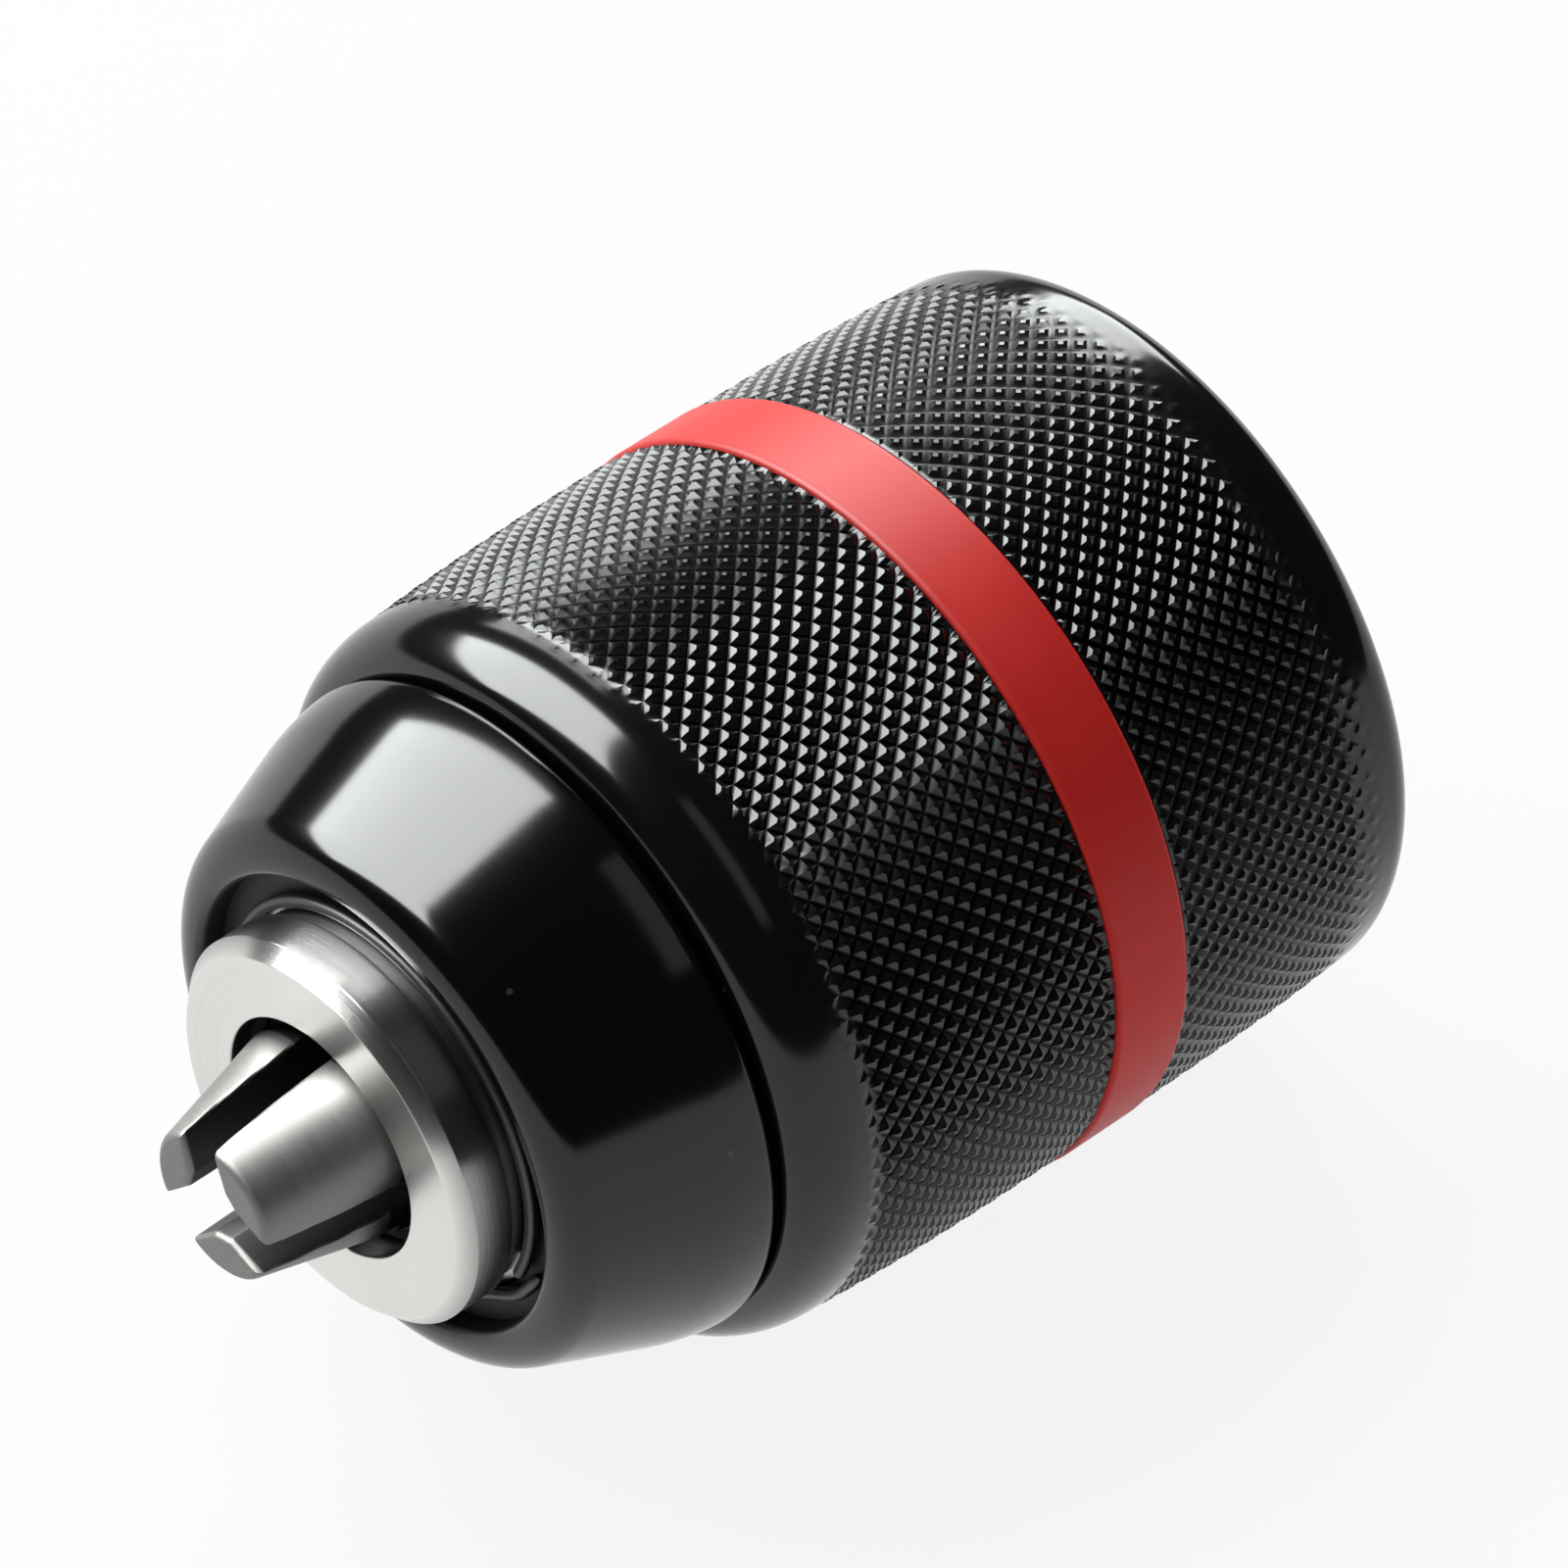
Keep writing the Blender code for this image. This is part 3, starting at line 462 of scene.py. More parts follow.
def hood_mesh():
    """The hood: a cone from a full round lip, with a flange inside, that falls below its line at the rear.

    The fall is the square of the way behind the cone's end over twice the crown's radius.
    """
    rear_radius = SLEEVE_RADIUS - HOOD_STEP
    lip_r = HOOD_MOUTH + HOOD_LIP_ROUND
    round_r = lip_r + HOOD_LIP_LAND
    round_z = HOOD_FRONT - HOOD_FRONT_ROUND
    across = rear_radius - round_r
    along = round_z - HOOD_REAR
    taper = math.acos(HOOD_FRONT_ROUND / math.hypot(across, along)) - math.atan2(along, across)
    front = (HOOD_FRONT_ROUND, HOOD_FRONT_ROUND, 90, math.degrees(taper))
    nose = round_arc(round_r, round_z, *front, HOOD_ROUND_STEPS)
    way = np.linspace(0.0, HOOD_CROWN_LENGTH - HOOD_REAR_ROUND, HOOD_CROWN_STEPS)
    crown_z = HOOD_REAR + HOOD_CROWN_LENGTH - way
    crown_r = rear_radius - math.tan(taper) * (crown_z - HOOD_REAR) - way**2 / (2 * HOOD_CROWN_RADIUS)
    edge_r = crown_r[-1] - HOOD_REAR_ROUND
    edge = round_arc(edge_r, crown_z[-1], HOOD_REAR_ROUND, HOOD_REAR_ROUND, 0, -90, HOOD_EDGE_STEPS)
    inner_rear = crown_r[-1] - HOOD_WALL
    inner_front = inner_rear - math.tan(taper) * (FLANGE_REAR - HOOD_REAR)
    inside = np.array(
        [
            [inner_rear, HOOD_REAR],
            [inner_front, FLANGE_REAR],
            [HOOD_BORE, FLANGE_REAR],
            [HOOD_BORE, FLANGE_FRONT],
            [HOOD_MOUTH, FLANGE_FRONT],
        ]
    )
    lip_z = HOOD_FRONT - HOOD_LIP_ROUND
    lip = round_arc(lip_r, lip_z, HOOD_LIP_ROUND, HOOD_LIP_ROUND, 180, 90, HOOD_EDGE_STEPS)
    crown = np.stack([crown_r, crown_z], -1)
    outline = np.concatenate([nose, crown, edge[1:], inside, lip])
    return turned_mesh("hood_cone", outline, TURNED_COLUMNS, HOOD_SHARP_ANGLE)


def colour_ring_mesh():
    """The colour ring: a plain band with rounded outer edges."""
    corners = [
        (RING_RADIUS, RING_FRONT, RING_EDGE),
        (RING_RADIUS, RING_REAR, RING_EDGE),
        (RING_SEAT + SEAT_GAP, RING_REAR, 0.0),
        (RING_SEAT + SEAT_GAP, RING_FRONT, 0.0),
    ]
    outline = filleted(corners, RING_EDGE_STEPS)
    return turned_mesh("colour_ring_smooth", outline, TURNED_COLUMNS, RING_SHARP_ANGLE)


def passage_mesh(angle):
    """A closed round bar along one jaw's slanted path, from inside the nose to behind the seat.

    It starts half a step round, so that its edges miss those of the body.
    """
    turn = 2 * np.pi * (np.arange(PASSAGE_COLUMNS) + 0.5) / PASSAGE_COLUMNS
    z = np.array([NOSE_FRONT + PASSAGE_AHEAD, -PASSAGE_BEHIND])[:, None]
    rho = jaw_centre(z) + PASSAGE_RADIUS / math.cos(SLANT) * np.cos(turn)
    x, y = turned_to(angle, rho, PASSAGE_RADIUS * np.sin(turn))
    faces = [grid_faces(2, PASSAGE_COLUMNS)] + end_caps(2, PASSAGE_COLUMNS)
    return make_mesh("passage", lay_down(x, y, z), faces)


def body_mesh():
    """The body: a turned outline with a thread in its socket, cut by three slanted round passages.

    The thread is a triangle wave along the axis that turns once per pitch round the socket's wall.
    """
    nose = filleted(
        [
            (BIT_BORE, NOSE_FRONT, BORE_EDGE),
            (NOSE_RADIUS - NOSE_CHAMFER, NOSE_FRONT, NOSE_EDGE),
            (NOSE_RADIUS, NOSE_FRONT - NOSE_CHAMFER, NOSE_EDGE),
            (NOSE_RADIUS, NOSE_REAR, NOSE_BACK_EDGE),
            (SNAP_GROOVE, NOSE_REAR, 0.0),
            (SNAP_GROOVE, FLANGE_FRONT, 0.0),
            (NOSE_RADIUS, FLANGE_FRONT, 0.0),
            (NOSE_RADIUS, SHOULDER_Z, 0.0),
            (FRONT_RADIUS, SHOULDER_Z, SHOULDER_EDGE),
            (FRONT_RADIUS, NUT_GROOVE_FRONT, 0.0),
            (NUT_GROOVE_RADII[0], NUT_GROOVE_FRONT, 0.0),
            (NUT_GROOVE_RADII[1], NUT_GROOVE_REAR, 0.0),
            (LAND_RADIUS, NUT_GROOVE_REAR, 0.0),
            (LAND_RADIUS, LAND_REAR, 0.0),
            (BODY_RADIUS, LAND_REAR, BODY_EDGE),
            (BODY_RADIUS, HUB_FRONT, BODY_EDGE),
            (HUB_RADIUS, HUB_FRONT, 0.0),
            (HUB_RADIUS, 0.0, HUB_EDGE),
            (SOCKET_MOUTH, 0.0, SOCKET_EDGE),
        ],
        SMALL_EDGE_STEPS,
    )
    socket_z = np.arange(THREAD_START, THREAD_END, THREAD_PITCH / THREAD_STEPS)
    socket = np.stack([np.full(len(socket_z), SOCKET_RADIUS), socket_z], -1)
    inside = np.array(
        [
            [SOCKET_RADIUS, SOCKET_DEPTH],
            [SCREW_HOLE, SOCKET_DEPTH],
            [SCREW_HOLE, BIT_BORE_DEPTH],
            [BIT_BORE, BIT_BORE_DEPTH],
            [BIT_BORE, NOSE_FRONT - BORE_MOUTH],
        ]
    )
    nose, inside = with_rows(nose, BODY_STEP), with_rows(inside, BODY_STEP)
    outline = np.concatenate([nose, socket, inside])
    theta = 2 * np.pi * np.arange(BODY_COLUMNS)[None, :] / BODY_COLUMNS
    r = np.repeat(outline[:, 0, None], BODY_COLUMNS, 1)
    turns = socket_z[:, None] / THREAD_PITCH - theta / (2 * np.pi)
    wave = np.clip(np.abs(turns % 1.0 - 0.5) * THREAD_SLOPE - THREAD_LAND, 0.0, 1.0)
    run_in = smooth_step((socket_z - THREAD_RUN_IN_START) / THREAD_RUN_IN)
    run_out = smooth_step((THREAD_END - socket_z) / THREAD_RUN_OUT)
    r[len(nose):len(nose) + len(socket)] += THREAD_DEPTH * (run_in * run_out)[:, None] * wave
    points = lay_down(r * np.cos(theta), r * np.sin(theta), outline[:, 1, None])
    blank = make_mesh("body_blank", points, grid_faces(len(outline), BODY_COLUMNS, close_rows=True))
    body = bpy.data.objects.new("body_blank", blank)
    bpy.context.scene.collection.objects.link(body)
    helpers = [body]
    for angle in JAW_ANGLES:
        cutter = bpy.data.objects.new("passage", passage_mesh(angle))
        bpy.context.scene.collection.objects.link(cutter)
        helpers.append(cutter)
        boolean = body.modifiers.new("passage", "BOOLEAN")
        boolean.operation = "DIFFERENCE"
        boolean.solver = "EXACT"
        boolean.object = cutter
    bpy.context.view_layer.update()
    graph = bpy.context.evaluated_depsgraph_get()
    mesh = bpy.data.meshes.new_from_object(body.evaluated_get(graph))
    for helper in helpers:
        bpy.data.objects.remove(helper)
    mesh.name = "body_turned"
    mesh.shade_smooth()
    mesh.set_sharp_from_angle(angle=math.radians(SMOOTH_ANGLE))
    return mesh


def jaw_mesh(index):
    """A jaw as a stack of flat sections across the axis.

    Each section is the part of the slanted rod's ellipse that lies outside two grip planes at 120 degrees
    and a narrow land, and inside the circle of the tooth at that height. It is a distance from an inner
    point in every direction: the softened smallest of the distances to those limits.
    """
    corner = np.linspace(0.0, np.pi / 2, JAW_TIP_STEPS + 1)
    rim = [JAW_TIP_INSET, JAW_TIP_ROUND + JAW_TIP_LAND]
    tip_z = np.concatenate([[JAW_TIP, JAW_TIP], JAW_TIP - JAW_TIP_ROUND * (1 - np.cos(corner))])
    tip_inset = np.concatenate([rim, JAW_TIP_ROUND * (1 - np.sin(corner))])
    plain_z = np.linspace(JAW_TIP - JAW_PLAIN_FRONT, TOOTH_FRONT + JAW_PLAIN_REAR, JAW_PLAIN_ROWS)
    tooth_z = np.arange(TOOTH_FRONT + JAW_TOOTH_LEAD, JAW_REAR, -JAW_ROW_STEP)
    z = np.concatenate([tip_z, plain_z, tooth_z, [JAW_REAR, JAW_REAR]])[:, None]
    inset = np.zeros_like(z)
    inset[: len(tip_inset), 0] = tip_inset
    inset[-1] = JAW_END_INSET
    phi = 2 * np.pi * np.arange(JAW_COLUMNS)[None, :] / JAW_COLUMNS
    c, s = np.cos(phi), np.sin(phi)
    long_half = JAW_RADIUS / math.cos(SLANT)
    centre = jaw_centre(z)
    inner = np.maximum(GRIP_LAND, centre - long_half)
    middle = JAW_INNER_SHARE * inner + (1 - JAW_INNER_SHARE) * (centre + long_half)

    away = middle - centre
    square = (c / long_half) ** 2 + (s / JAW_RADIUS) ** 2
    cross = away * c / long_half**2
    rest = (away / long_half) ** 2 - 1
    limits = [(-cross + np.sqrt(cross * cross - square * rest)) / square]
    for side in (1, -1):
        lean = -math.sin(GRIP_HALF_ANGLE) * c + side * math.cos(GRIP_HALF_ANGLE) * s
        gap = math.sin(GRIP_HALF_ANGLE) * (middle - GRIP_APEX)
        plane = gap / np.maximum(lean, JAW_LEAST_LEAN)
        limits.append(np.where(lean > JAW_LEAST_LEAN, plane, JAW_NO_LIMIT))
    land = (middle - GRIP_LAND) / np.maximum(-c, JAW_LEAST_LEAN)
    limits.append(np.where(c < -JAW_LEAST_LEAN, land, JAW_NO_LIMIT))

    phase = JAW_ANGLES[index] / (2 * np.pi)
    number = np.round((z - NUT_MIDDLE) / TOOTH_PITCH - phase)
    groove_z = NUT_MIDDLE + (number + phase) * TOOTH_PITCH
    cut = np.clip((TOOTH_MOUTH_HALF - np.abs(z - groove_z)) / TOOTH_FLANK, 0.0, 1.0) * TOOTH_DEPTH
    cut = cut * (groove_z < TOOTH_FRONT)
    tooth_r = jaw_back(NUT_MIDDLE)
    offset = middle - (jaw_back(groove_z) - tooth_r)
    wall = np.where(cut > 0, tooth_r - cut, JAW_FAR_WALL)
    limits.append(-offset * c + np.sqrt(np.maximum((offset * c) ** 2 - offset**2 + wall**2, 0.0)))

    near = [np.maximum(limit, JAW_LEAST_LIMIT) ** -JAW_BEVEL for limit in limits]
    reach = sum(near) ** (-1 / JAW_BEVEL)
    flank = np.minimum(limits[1], limits[2]) < np.minimum(limits[0], limits[3])
    reach = np.maximum(reach - inset, JAW_LEAST_REACH)
    x, y = turned_to(JAW_ANGLES[index], middle + reach * c, reach * s)
    faces = [grid_faces(len(z), JAW_COLUMNS)] + end_caps(len(z), JAW_COLUMNS)
    mesh = make_mesh(f"jaw_{index + 1}_ground", lay_down(x, y, z), faces, JAW_SHARP_ANGLE)
    # Painted shade: the grip faces between the jaws and the toothed part inside the body are marked to be
    # darkened.
    dull = (flank & (inset <= 0)) | (z < TOOTH_FRONT)
    dark = mesh.attributes.new("dark", "FLOAT", "POINT")
    dark.data.foreach_set("value", dull.astype(np.float32).ravel())
    return mesh


def snap_ring_mesh():
    """The spring wire: a circle carried along just over one turn that steps out near its end."""
    sweep = 2 * np.pi + SNAP_OVERLAP
    turned = np.linspace(0.0, sweep, SNAP_ROWS)[:, None]
    step = np.clip((turned - 2 * np.pi + SNAP_RAMP) / SNAP_RAMP, 0.0, 1.0)
    past = np.maximum(turned - 2 * np.pi, 0.0) / SNAP_OVERLAP
    radius = SNAP_RADIUS + SNAP_STEP_OUT * smooth_step(step) + SNAP_RISE * past
    theta = SNAP_START + turned
    phi = 2 * np.pi * np.arange(SNAP_COLUMNS)[None, :] / SNAP_COLUMNS
    end = np.minimum(turned, sweep - turned) * SNAP_RADIUS
    wire = SNAP_WIRE * np.sqrt(np.clip(SNAP_END_SHARE + end / SNAP_END_LENGTH, 0.0, 1.0))
    r = radius + wire * np.cos(phi)
    points = lay_down(r * np.cos(theta), r * np.sin(theta), SNAP_Z + wire * np.sin(phi))
    faces = [grid_faces(len(turned), SNAP_COLUMNS)] + end_caps(len(turned), SNAP_COLUMNS)
    return make_mesh("snap_ring_wire", points, faces, SNAP_SHARP_ANGLE)


def ball_mesh(name):
    """A bearing ball: rings of latitude between two small closed poles, about the middle of its node."""
    low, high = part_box(name)
    latitude = np.linspace(BALL_POLE, -BALL_POLE, BALL_RINGS)[:, None]
    around = 2 * np.pi * np.arange(BALL_COLUMNS)[None, :] / BALL_COLUMNS
    flat = np.cos(latitude)
    shape = np.broadcast_arrays(flat * np.cos(around), flat * np.sin(around), np.sin(latitude))
    points = np.stack(shape, -1) * BALL_RADIUS / MM_PER_M + np.array((low + high) / 2)
    faces = [grid_faces(BALL_RINGS, BALL_COLUMNS)] + end_caps(BALL_RINGS, BALL_COLUMNS)
    return make_mesh(f"{name}_round", points, faces, BALL_SHARP_ANGLE)


def ring_mesh(name, cad_node, bore, fillet):
    """A flat or tall ring of a node's own length and radius, with its four edges rounded."""
    rear, front, radius = span(cad_node)
    corners = [(radius, front), (radius, rear), (bore, rear), (bore, front)]
    outline = filleted([(r, z, fillet) for r, z in corners], SMALL_EDGE_STEPS)
    return turned_mesh(name, outline, INNER_COLUMNS)


def smoothed_copy(cad_node):
    """A copy of a CAD node's mesh with its corners merged and its round faces smooth."""
    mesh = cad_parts[cad_node].data
    points = np.empty(len(mesh.vertices) * 3)
    mesh.vertices.foreach_get("co", points)
    corners = np.empty(len(mesh.loops), np.int32)
    mesh.loops.foreach_get("vertex_index", corners)
    places, same = np.unique(np.round(points.reshape(-1, 3), 7), axis=0, return_inverse=True)
    faces = same.reshape(-1)[corners].reshape(-1, 3)
    whole = (faces[:, 0] != faces[:, 1]) & (faces[:, 1] != faces[:, 2]) & (faces[:, 2] != faces[:, 0])
    return make_mesh(f"{cad_node}_smooth", places, faces[whole], COPY_SHARP_ANGLE)


# Finishes


TURNING_DRIFT = 60.0
TURNING_BUMP = 0.00002
SPECK_REACH = 0.16
PEEL_BUMP = 0.00003
DUST = (0.05, 0.05, 0.05)
# Share of a tone that painted shade leaves in the bit bore.
BORE_SHADE = 0.2
BORE_SHADE_BLEND = (-0.00005, 0.0001)
# Share of a tone that painted shade leaves on the nose's side.
NOSE_SIDE_SHADE = 0.5
# Share of the jaws' tone that painted shade leaves on their grip faces and teeth.
JAW_GRIP_SHADE = 0.3
MOUTH_DULL = 0.45
MOUTH_DULL_BLEND = 0.0003


def new_group(name, inputs, outputs):
    """A shader node group with named float inputs and outputs of the given kinds."""
    group = bpy.data.node_groups.new(name, "ShaderNodeTree")
    for label, value in inputs:
        socket = group.interface.new_socket(label, in_out="INPUT", socket_type="NodeSocketFloat")
        socket.default_value = value
    for label, kind in outputs:
        group.interface.new_socket(label, in_out="OUTPUT", socket_type=kind)
    source = group.nodes.new("NodeGroupInput")
    result = group.nodes.new("NodeGroupOutput")
    return group, source, result


def node(tree, kind, settings=None, **values):
    """A node with its settings and the values of its inputs, where an underscore stands for a space."""
    made = tree.nodes.new(kind)
    for key, value in (settings or {}).items():
        setattr(made, key, value)
    for key, value in values.items():
        made.inputs[key.replace("_", " ")].default_value = value
    return made


def math_node(tree, operation, first, second=None):
    """One sum on numbers or sockets."""
    made = tree.nodes.new("ShaderNodeMath")
    made.operation = operation
    for socket, value in zip(made.inputs, (first, second)):
        if isinstance(value, (int, float)):
            socket.default_value = value
        elif value is not None:
            tree.links.new(value, socket)
    return made.outputs[0]


def axis_radius(tree, parts):
    """Distance of a point from the chuck's axis, in metres, from its separated coordinates."""
    up = math_node(tree, "SUBTRACT", parts.outputs["Z"], AXIS_HEIGHT / MM_PER_M)
    up_square = math_node(tree, "MULTIPLY", up, up)
    across_square = math_node(tree, "MULTIPLY", parts.outputs["X"], parts.outputs["X"])
    return math_node(tree, "SQRT", math_node(tree, "ADD", up_square, across_square))


def turning_group():
    """Fine rings left by a lathe: noise that changes out from the axis and along it, not round it."""
    group, source, result = new_group(
        "turning_marks",
        [("Fineness", 9000.0), ("Depth", 0.2)],
        [("Tone", "NodeSocketFloat"), ("Normal", "NodeSocketVector")],
    )
    where = node(group, "ShaderNodeTexCoord")
    parts = node(group, "ShaderNodeSeparateXYZ")
    group.links.new(where.outputs["Object"], parts.inputs[0])
    along = node(group, "ShaderNodeCombineXYZ")
    fineness = source.outputs["Fineness"]
    group.links.new(math_node(group, "MULTIPLY", axis_radius(group, parts), fineness), along.inputs["X"])
    group.links.new(math_node(group, "MULTIPLY", parts.outputs["Y"], fineness), along.inputs["Y"])
    group.links.new(math_node(group, "MULTIPLY", parts.outputs["X"], TURNING_DRIFT), along.inputs["Z"])
    rings = node(group, "ShaderNodeTexNoise", Scale=1.0, Detail=3.0, Roughness=0.6)
    group.links.new(along.outputs[0], rings.inputs["Vector"])
    bump = node(group, "ShaderNodeBump", Distance=TURNING_BUMP)
    group.links.new(source.outputs["Depth"], bump.inputs["Strength"])
    group.links.new(rings.outputs["Fac"], bump.inputs["Height"])
    group.links.new(rings.outputs["Fac"], result.inputs["Tone"])
    group.links.new(bump.outputs[0], result.inputs["Normal"])
    return group


def handling_group():
    """Slow cloudy variation with sparse specks of dust, for smooth black and red finishes."""
    group, source, result = new_group(
        "handling",
        [("Cloud Scale", 180.0), ("Speck Scale", 900.0), ("Speck Share", 0.03), ("Peel", 0.05)],
        [("Cloud", "NodeSocketFloat"), ("Specks", "NodeSocketFloat"), ("Normal", "NodeSocketVector")],
    )
    where = node(group, "ShaderNodeTexCoord")
    cloud = node(group, "ShaderNodeTexNoise", Detail=4.0, Roughness=0.55)
    group.links.new(where.outputs["Object"], cloud.inputs["Vector"])
    group.links.new(source.outputs["Cloud Scale"], cloud.inputs["Scale"])
    specks = node(group, "ShaderNodeTexVoronoi")
    group.links.new(where.outputs["Object"], specks.inputs["Vector"])
    group.links.new(source.outputs["Speck Scale"], specks.inputs["Scale"])
    chosen = node(group, "ShaderNodeSeparateColor")
    group.links.new(specks.outputs["Color"], chosen.inputs[0])
    rare = math_node(group, "LESS_THAN", chosen.outputs[0], source.outputs["Speck Share"])
    small = math_node(group, "LESS_THAN", specks.outputs["Distance"], SPECK_REACH)
    group.links.new(math_node(group, "MULTIPLY", rare, small), result.inputs["Specks"])
    group.links.new(cloud.outputs["Fac"], result.inputs["Cloud"])
    peel = node(group, "ShaderNodeTexNoise", Scale=1100.0, Detail=2.0)
    group.links.new(where.outputs["Object"], peel.inputs["Vector"])
    bump = node(group, "ShaderNodeBump", Distance=PEEL_BUMP)
    group.links.new(source.outputs["Peel"], bump.inputs["Strength"])
    group.links.new(peel.outputs["Fac"], bump.inputs["Height"])
    group.links.new(bump.outputs[0], result.inputs["Normal"])
    return group


TURNING = turning_group()
HANDLING = handling_group()


def new_material(name, metallic):
    """A material with its tree and its shader."""
    material = bpy.data.materials.new(name)
    material.use_nodes = True
    tree = material.node_tree
    shader = tree.nodes["Principled BSDF"]
    shader.inputs["Metallic"].default_value = metallic
    return material, tree, shader


def place_group(tree, group, **values):
    """A shared group in a material's tree, with its own values."""
    return node(tree, "ShaderNodeGroup", {"node_tree": group}, **values)


def tone_between(tree, mask, low, high):
    """A colour that goes from the low one to the high one with a mask."""
    mix = node(tree, "ShaderNodeMix", {"data_type": "RGBA"}, A=(*low, 1.0), B=(*high, 1.0))
    tree.links.new(mask, mix.inputs["Factor"])
    return mix.outputs["Result"]


def value_between(tree, mask, low, high, start=0.0, end=1.0):
    """A value that goes from the low one to the high one as a mask goes from its start to its end."""
    scale = node(tree, "ShaderNodeMapRange", From_Min=start, From_Max=end, To_Min=low, To_Max=high)
    tree.links.new(mask, scale.inputs["Value"])
    return scale.outputs[0]


def steel(name, dark, light, roughness, fineness, depth):
    """Bare steel with lathe rings in its tone, roughness and surface."""
    material, tree, shader = new_material(name, 1.0)
    marks = place_group(tree, TURNING, Fineness=fineness, Depth=depth)
    tone = tone_between(tree, marks.outputs["Tone"], dark, light)
    tree.links.new(tone, shader.inputs["Base Color"])
    rough = value_between(tree, marks.outputs["Tone"], *roughness)
    tree.links.new(rough, shader.inputs["Roughness"])
    tree.links.new(marks.outputs["Normal"], shader.inputs["Normal"])
    return material, tree, shader, tone


def darkened(tree, shader, tone, mask, share):
    """Lowers a tone to a share of itself where a mask is 1."""
    scale = node(tree, "ShaderNodeVectorMath", {"operation": "SCALE"})
    tree.links.new(tone, scale.inputs[0])
    tree.links.new(value_between(tree, mask, 1.0, share), scale.inputs["Scale"])
    tree.links.new(scale.outputs[0], shader.inputs["Base Color"])
    return scale.outputs[0]


def body_steel():
    """The body's turned steel: grooves round the axis stretch its gloss.

    The bit bore is dark with painted shade, and the nose's side is darker than its front with painted shade
    that dims its reflections, with the chamfer between them.
    """
    material, tree, shader, tone = steel(
        "body_steel", (0.66, 0.655, 0.635), (0.78, 0.775, 0.755), (0.2, 0.3), fineness=9000.0, depth=0.08
    )
    where = node(tree, "ShaderNodeTexCoord")
    parts = node(tree, "ShaderNodeSeparateXYZ")
    tree.links.new(where.outputs["Object"], parts.inputs[0])
    # Painted shade: the bit bore's steel is darkened, as shade inside the recess.
    bore = BIT_BORE / MM_PER_M
    shade_start, shade_end = (bore + blend for blend in BORE_SHADE_BLEND)
    inside = value_between(tree, axis_radius(tree, parts), 1.0, 0.0, shade_start, shade_end)
    tone = darkened(tree, shader, tone, inside, BORE_SHADE)
    # Painted shade: the nose's side and chamfer are darkened to dim their highlight and reflections.
    edge = (NOSE_RADIUS - NOSE_CHAMFER) / MM_PER_M
    outside = value_between(tree, axis_radius(tree, parts), 0.0, 1.0, edge, NOSE_RADIUS / MM_PER_M)
    ahead = math_node(tree, "LESS_THAN", parts.outputs["Y"], (SEAT_Y - SHOULDER_Z) / MM_PER_M)
    darkened(tree, shader, tone, math_node(tree, "MULTIPLY", outside, ahead), NOSE_SIDE_SHADE)
    around = node(tree, "ShaderNodeCombineXYZ")
    up = math_node(tree, "SUBTRACT", parts.outputs["Z"], AXIS_HEIGHT / MM_PER_M)
    tree.links.new(up, around.inputs["X"])
    tree.links.new(math_node(tree, "MULTIPLY", parts.outputs["X"], -1.0), around.inputs["Z"])
    turn = node(tree, "ShaderNodeVectorTransform", {"vector_type": "VECTOR"})
    turn.convert_from = "OBJECT"
    turn.convert_to = "WORLD"
    tree.links.new(around.outputs[0], turn.inputs[0])
    tree.links.new(turn.outputs[0], shader.inputs["Tangent"])
    shader.inputs["Anisotropic"].default_value = 0.75
    shader.inputs["Anisotropic Rotation"].default_value = 0.25
    return material


def jaw_steel():
    """The jaws' ground steel, with painted shade on the grip faces and along the teeth."""
    material, tree, shader, tone = steel(
        "jaw_steel", (0.185, 0.181, 0.174), (0.245, 0.241, 0.233), (0.44, 0.56), fineness=5000.0, depth=0.08
    )
    # Painted shade on the grip faces and teeth, taken from the dark attribute.
    dark = node(tree, "ShaderNodeAttribute", {"attribute_name": "dark"})
    darkened(tree, shader, tone, dark.outputs["Fac"], JAW_GRIP_SHADE)
    return material


def black_gloss(name, black, speck, peel, share):
    """Black finish over metal with a few specks of dust, and the cloud that its gloss varies with."""
    material, tree, shader = new_material(name, 0.0)
    touch = place_group(tree, HANDLING, Peel=peel, Speck_Share=share)
    tree.links.new(tone_between(tree, touch.outputs["Specks"], black, speck), shader.inputs["Base Color"])
    tree.links.new(touch.outputs["Normal"], shader.inputs["Normal"])
    shader.inputs["Specular IOR Level"].default_value = 0.45
    return material, tree, shader, touch.outputs["Cloud"]


def hood_black():
    """The hood's black: a clear gloss outside, dull in the mouth round the nose."""
    material, tree, shader, cloud = black_gloss(
        "hood_black", (0.002, 0.002, 0.0022), DUST, peel=0.02, share=0.012
    )
    where = node(tree, "ShaderNodeTexCoord")
    parts = node(tree, "ShaderNodeSeparateXYZ")
    tree.links.new(where.outputs["Object"], parts.inputs[0])
    mouth = HOOD_MOUTH / MM_PER_M
    dull = value_between(tree, axis_radius(tree, parts), MOUTH_DULL, 0.0, mouth, mouth + MOUTH_DULL_BLEND)
    gloss = value_between(tree, cloud, low=0.1, high=0.16)
    tree.links.new(math_node(tree, "ADD", gloss, dull), shader.inputs["Roughness"])
    return material


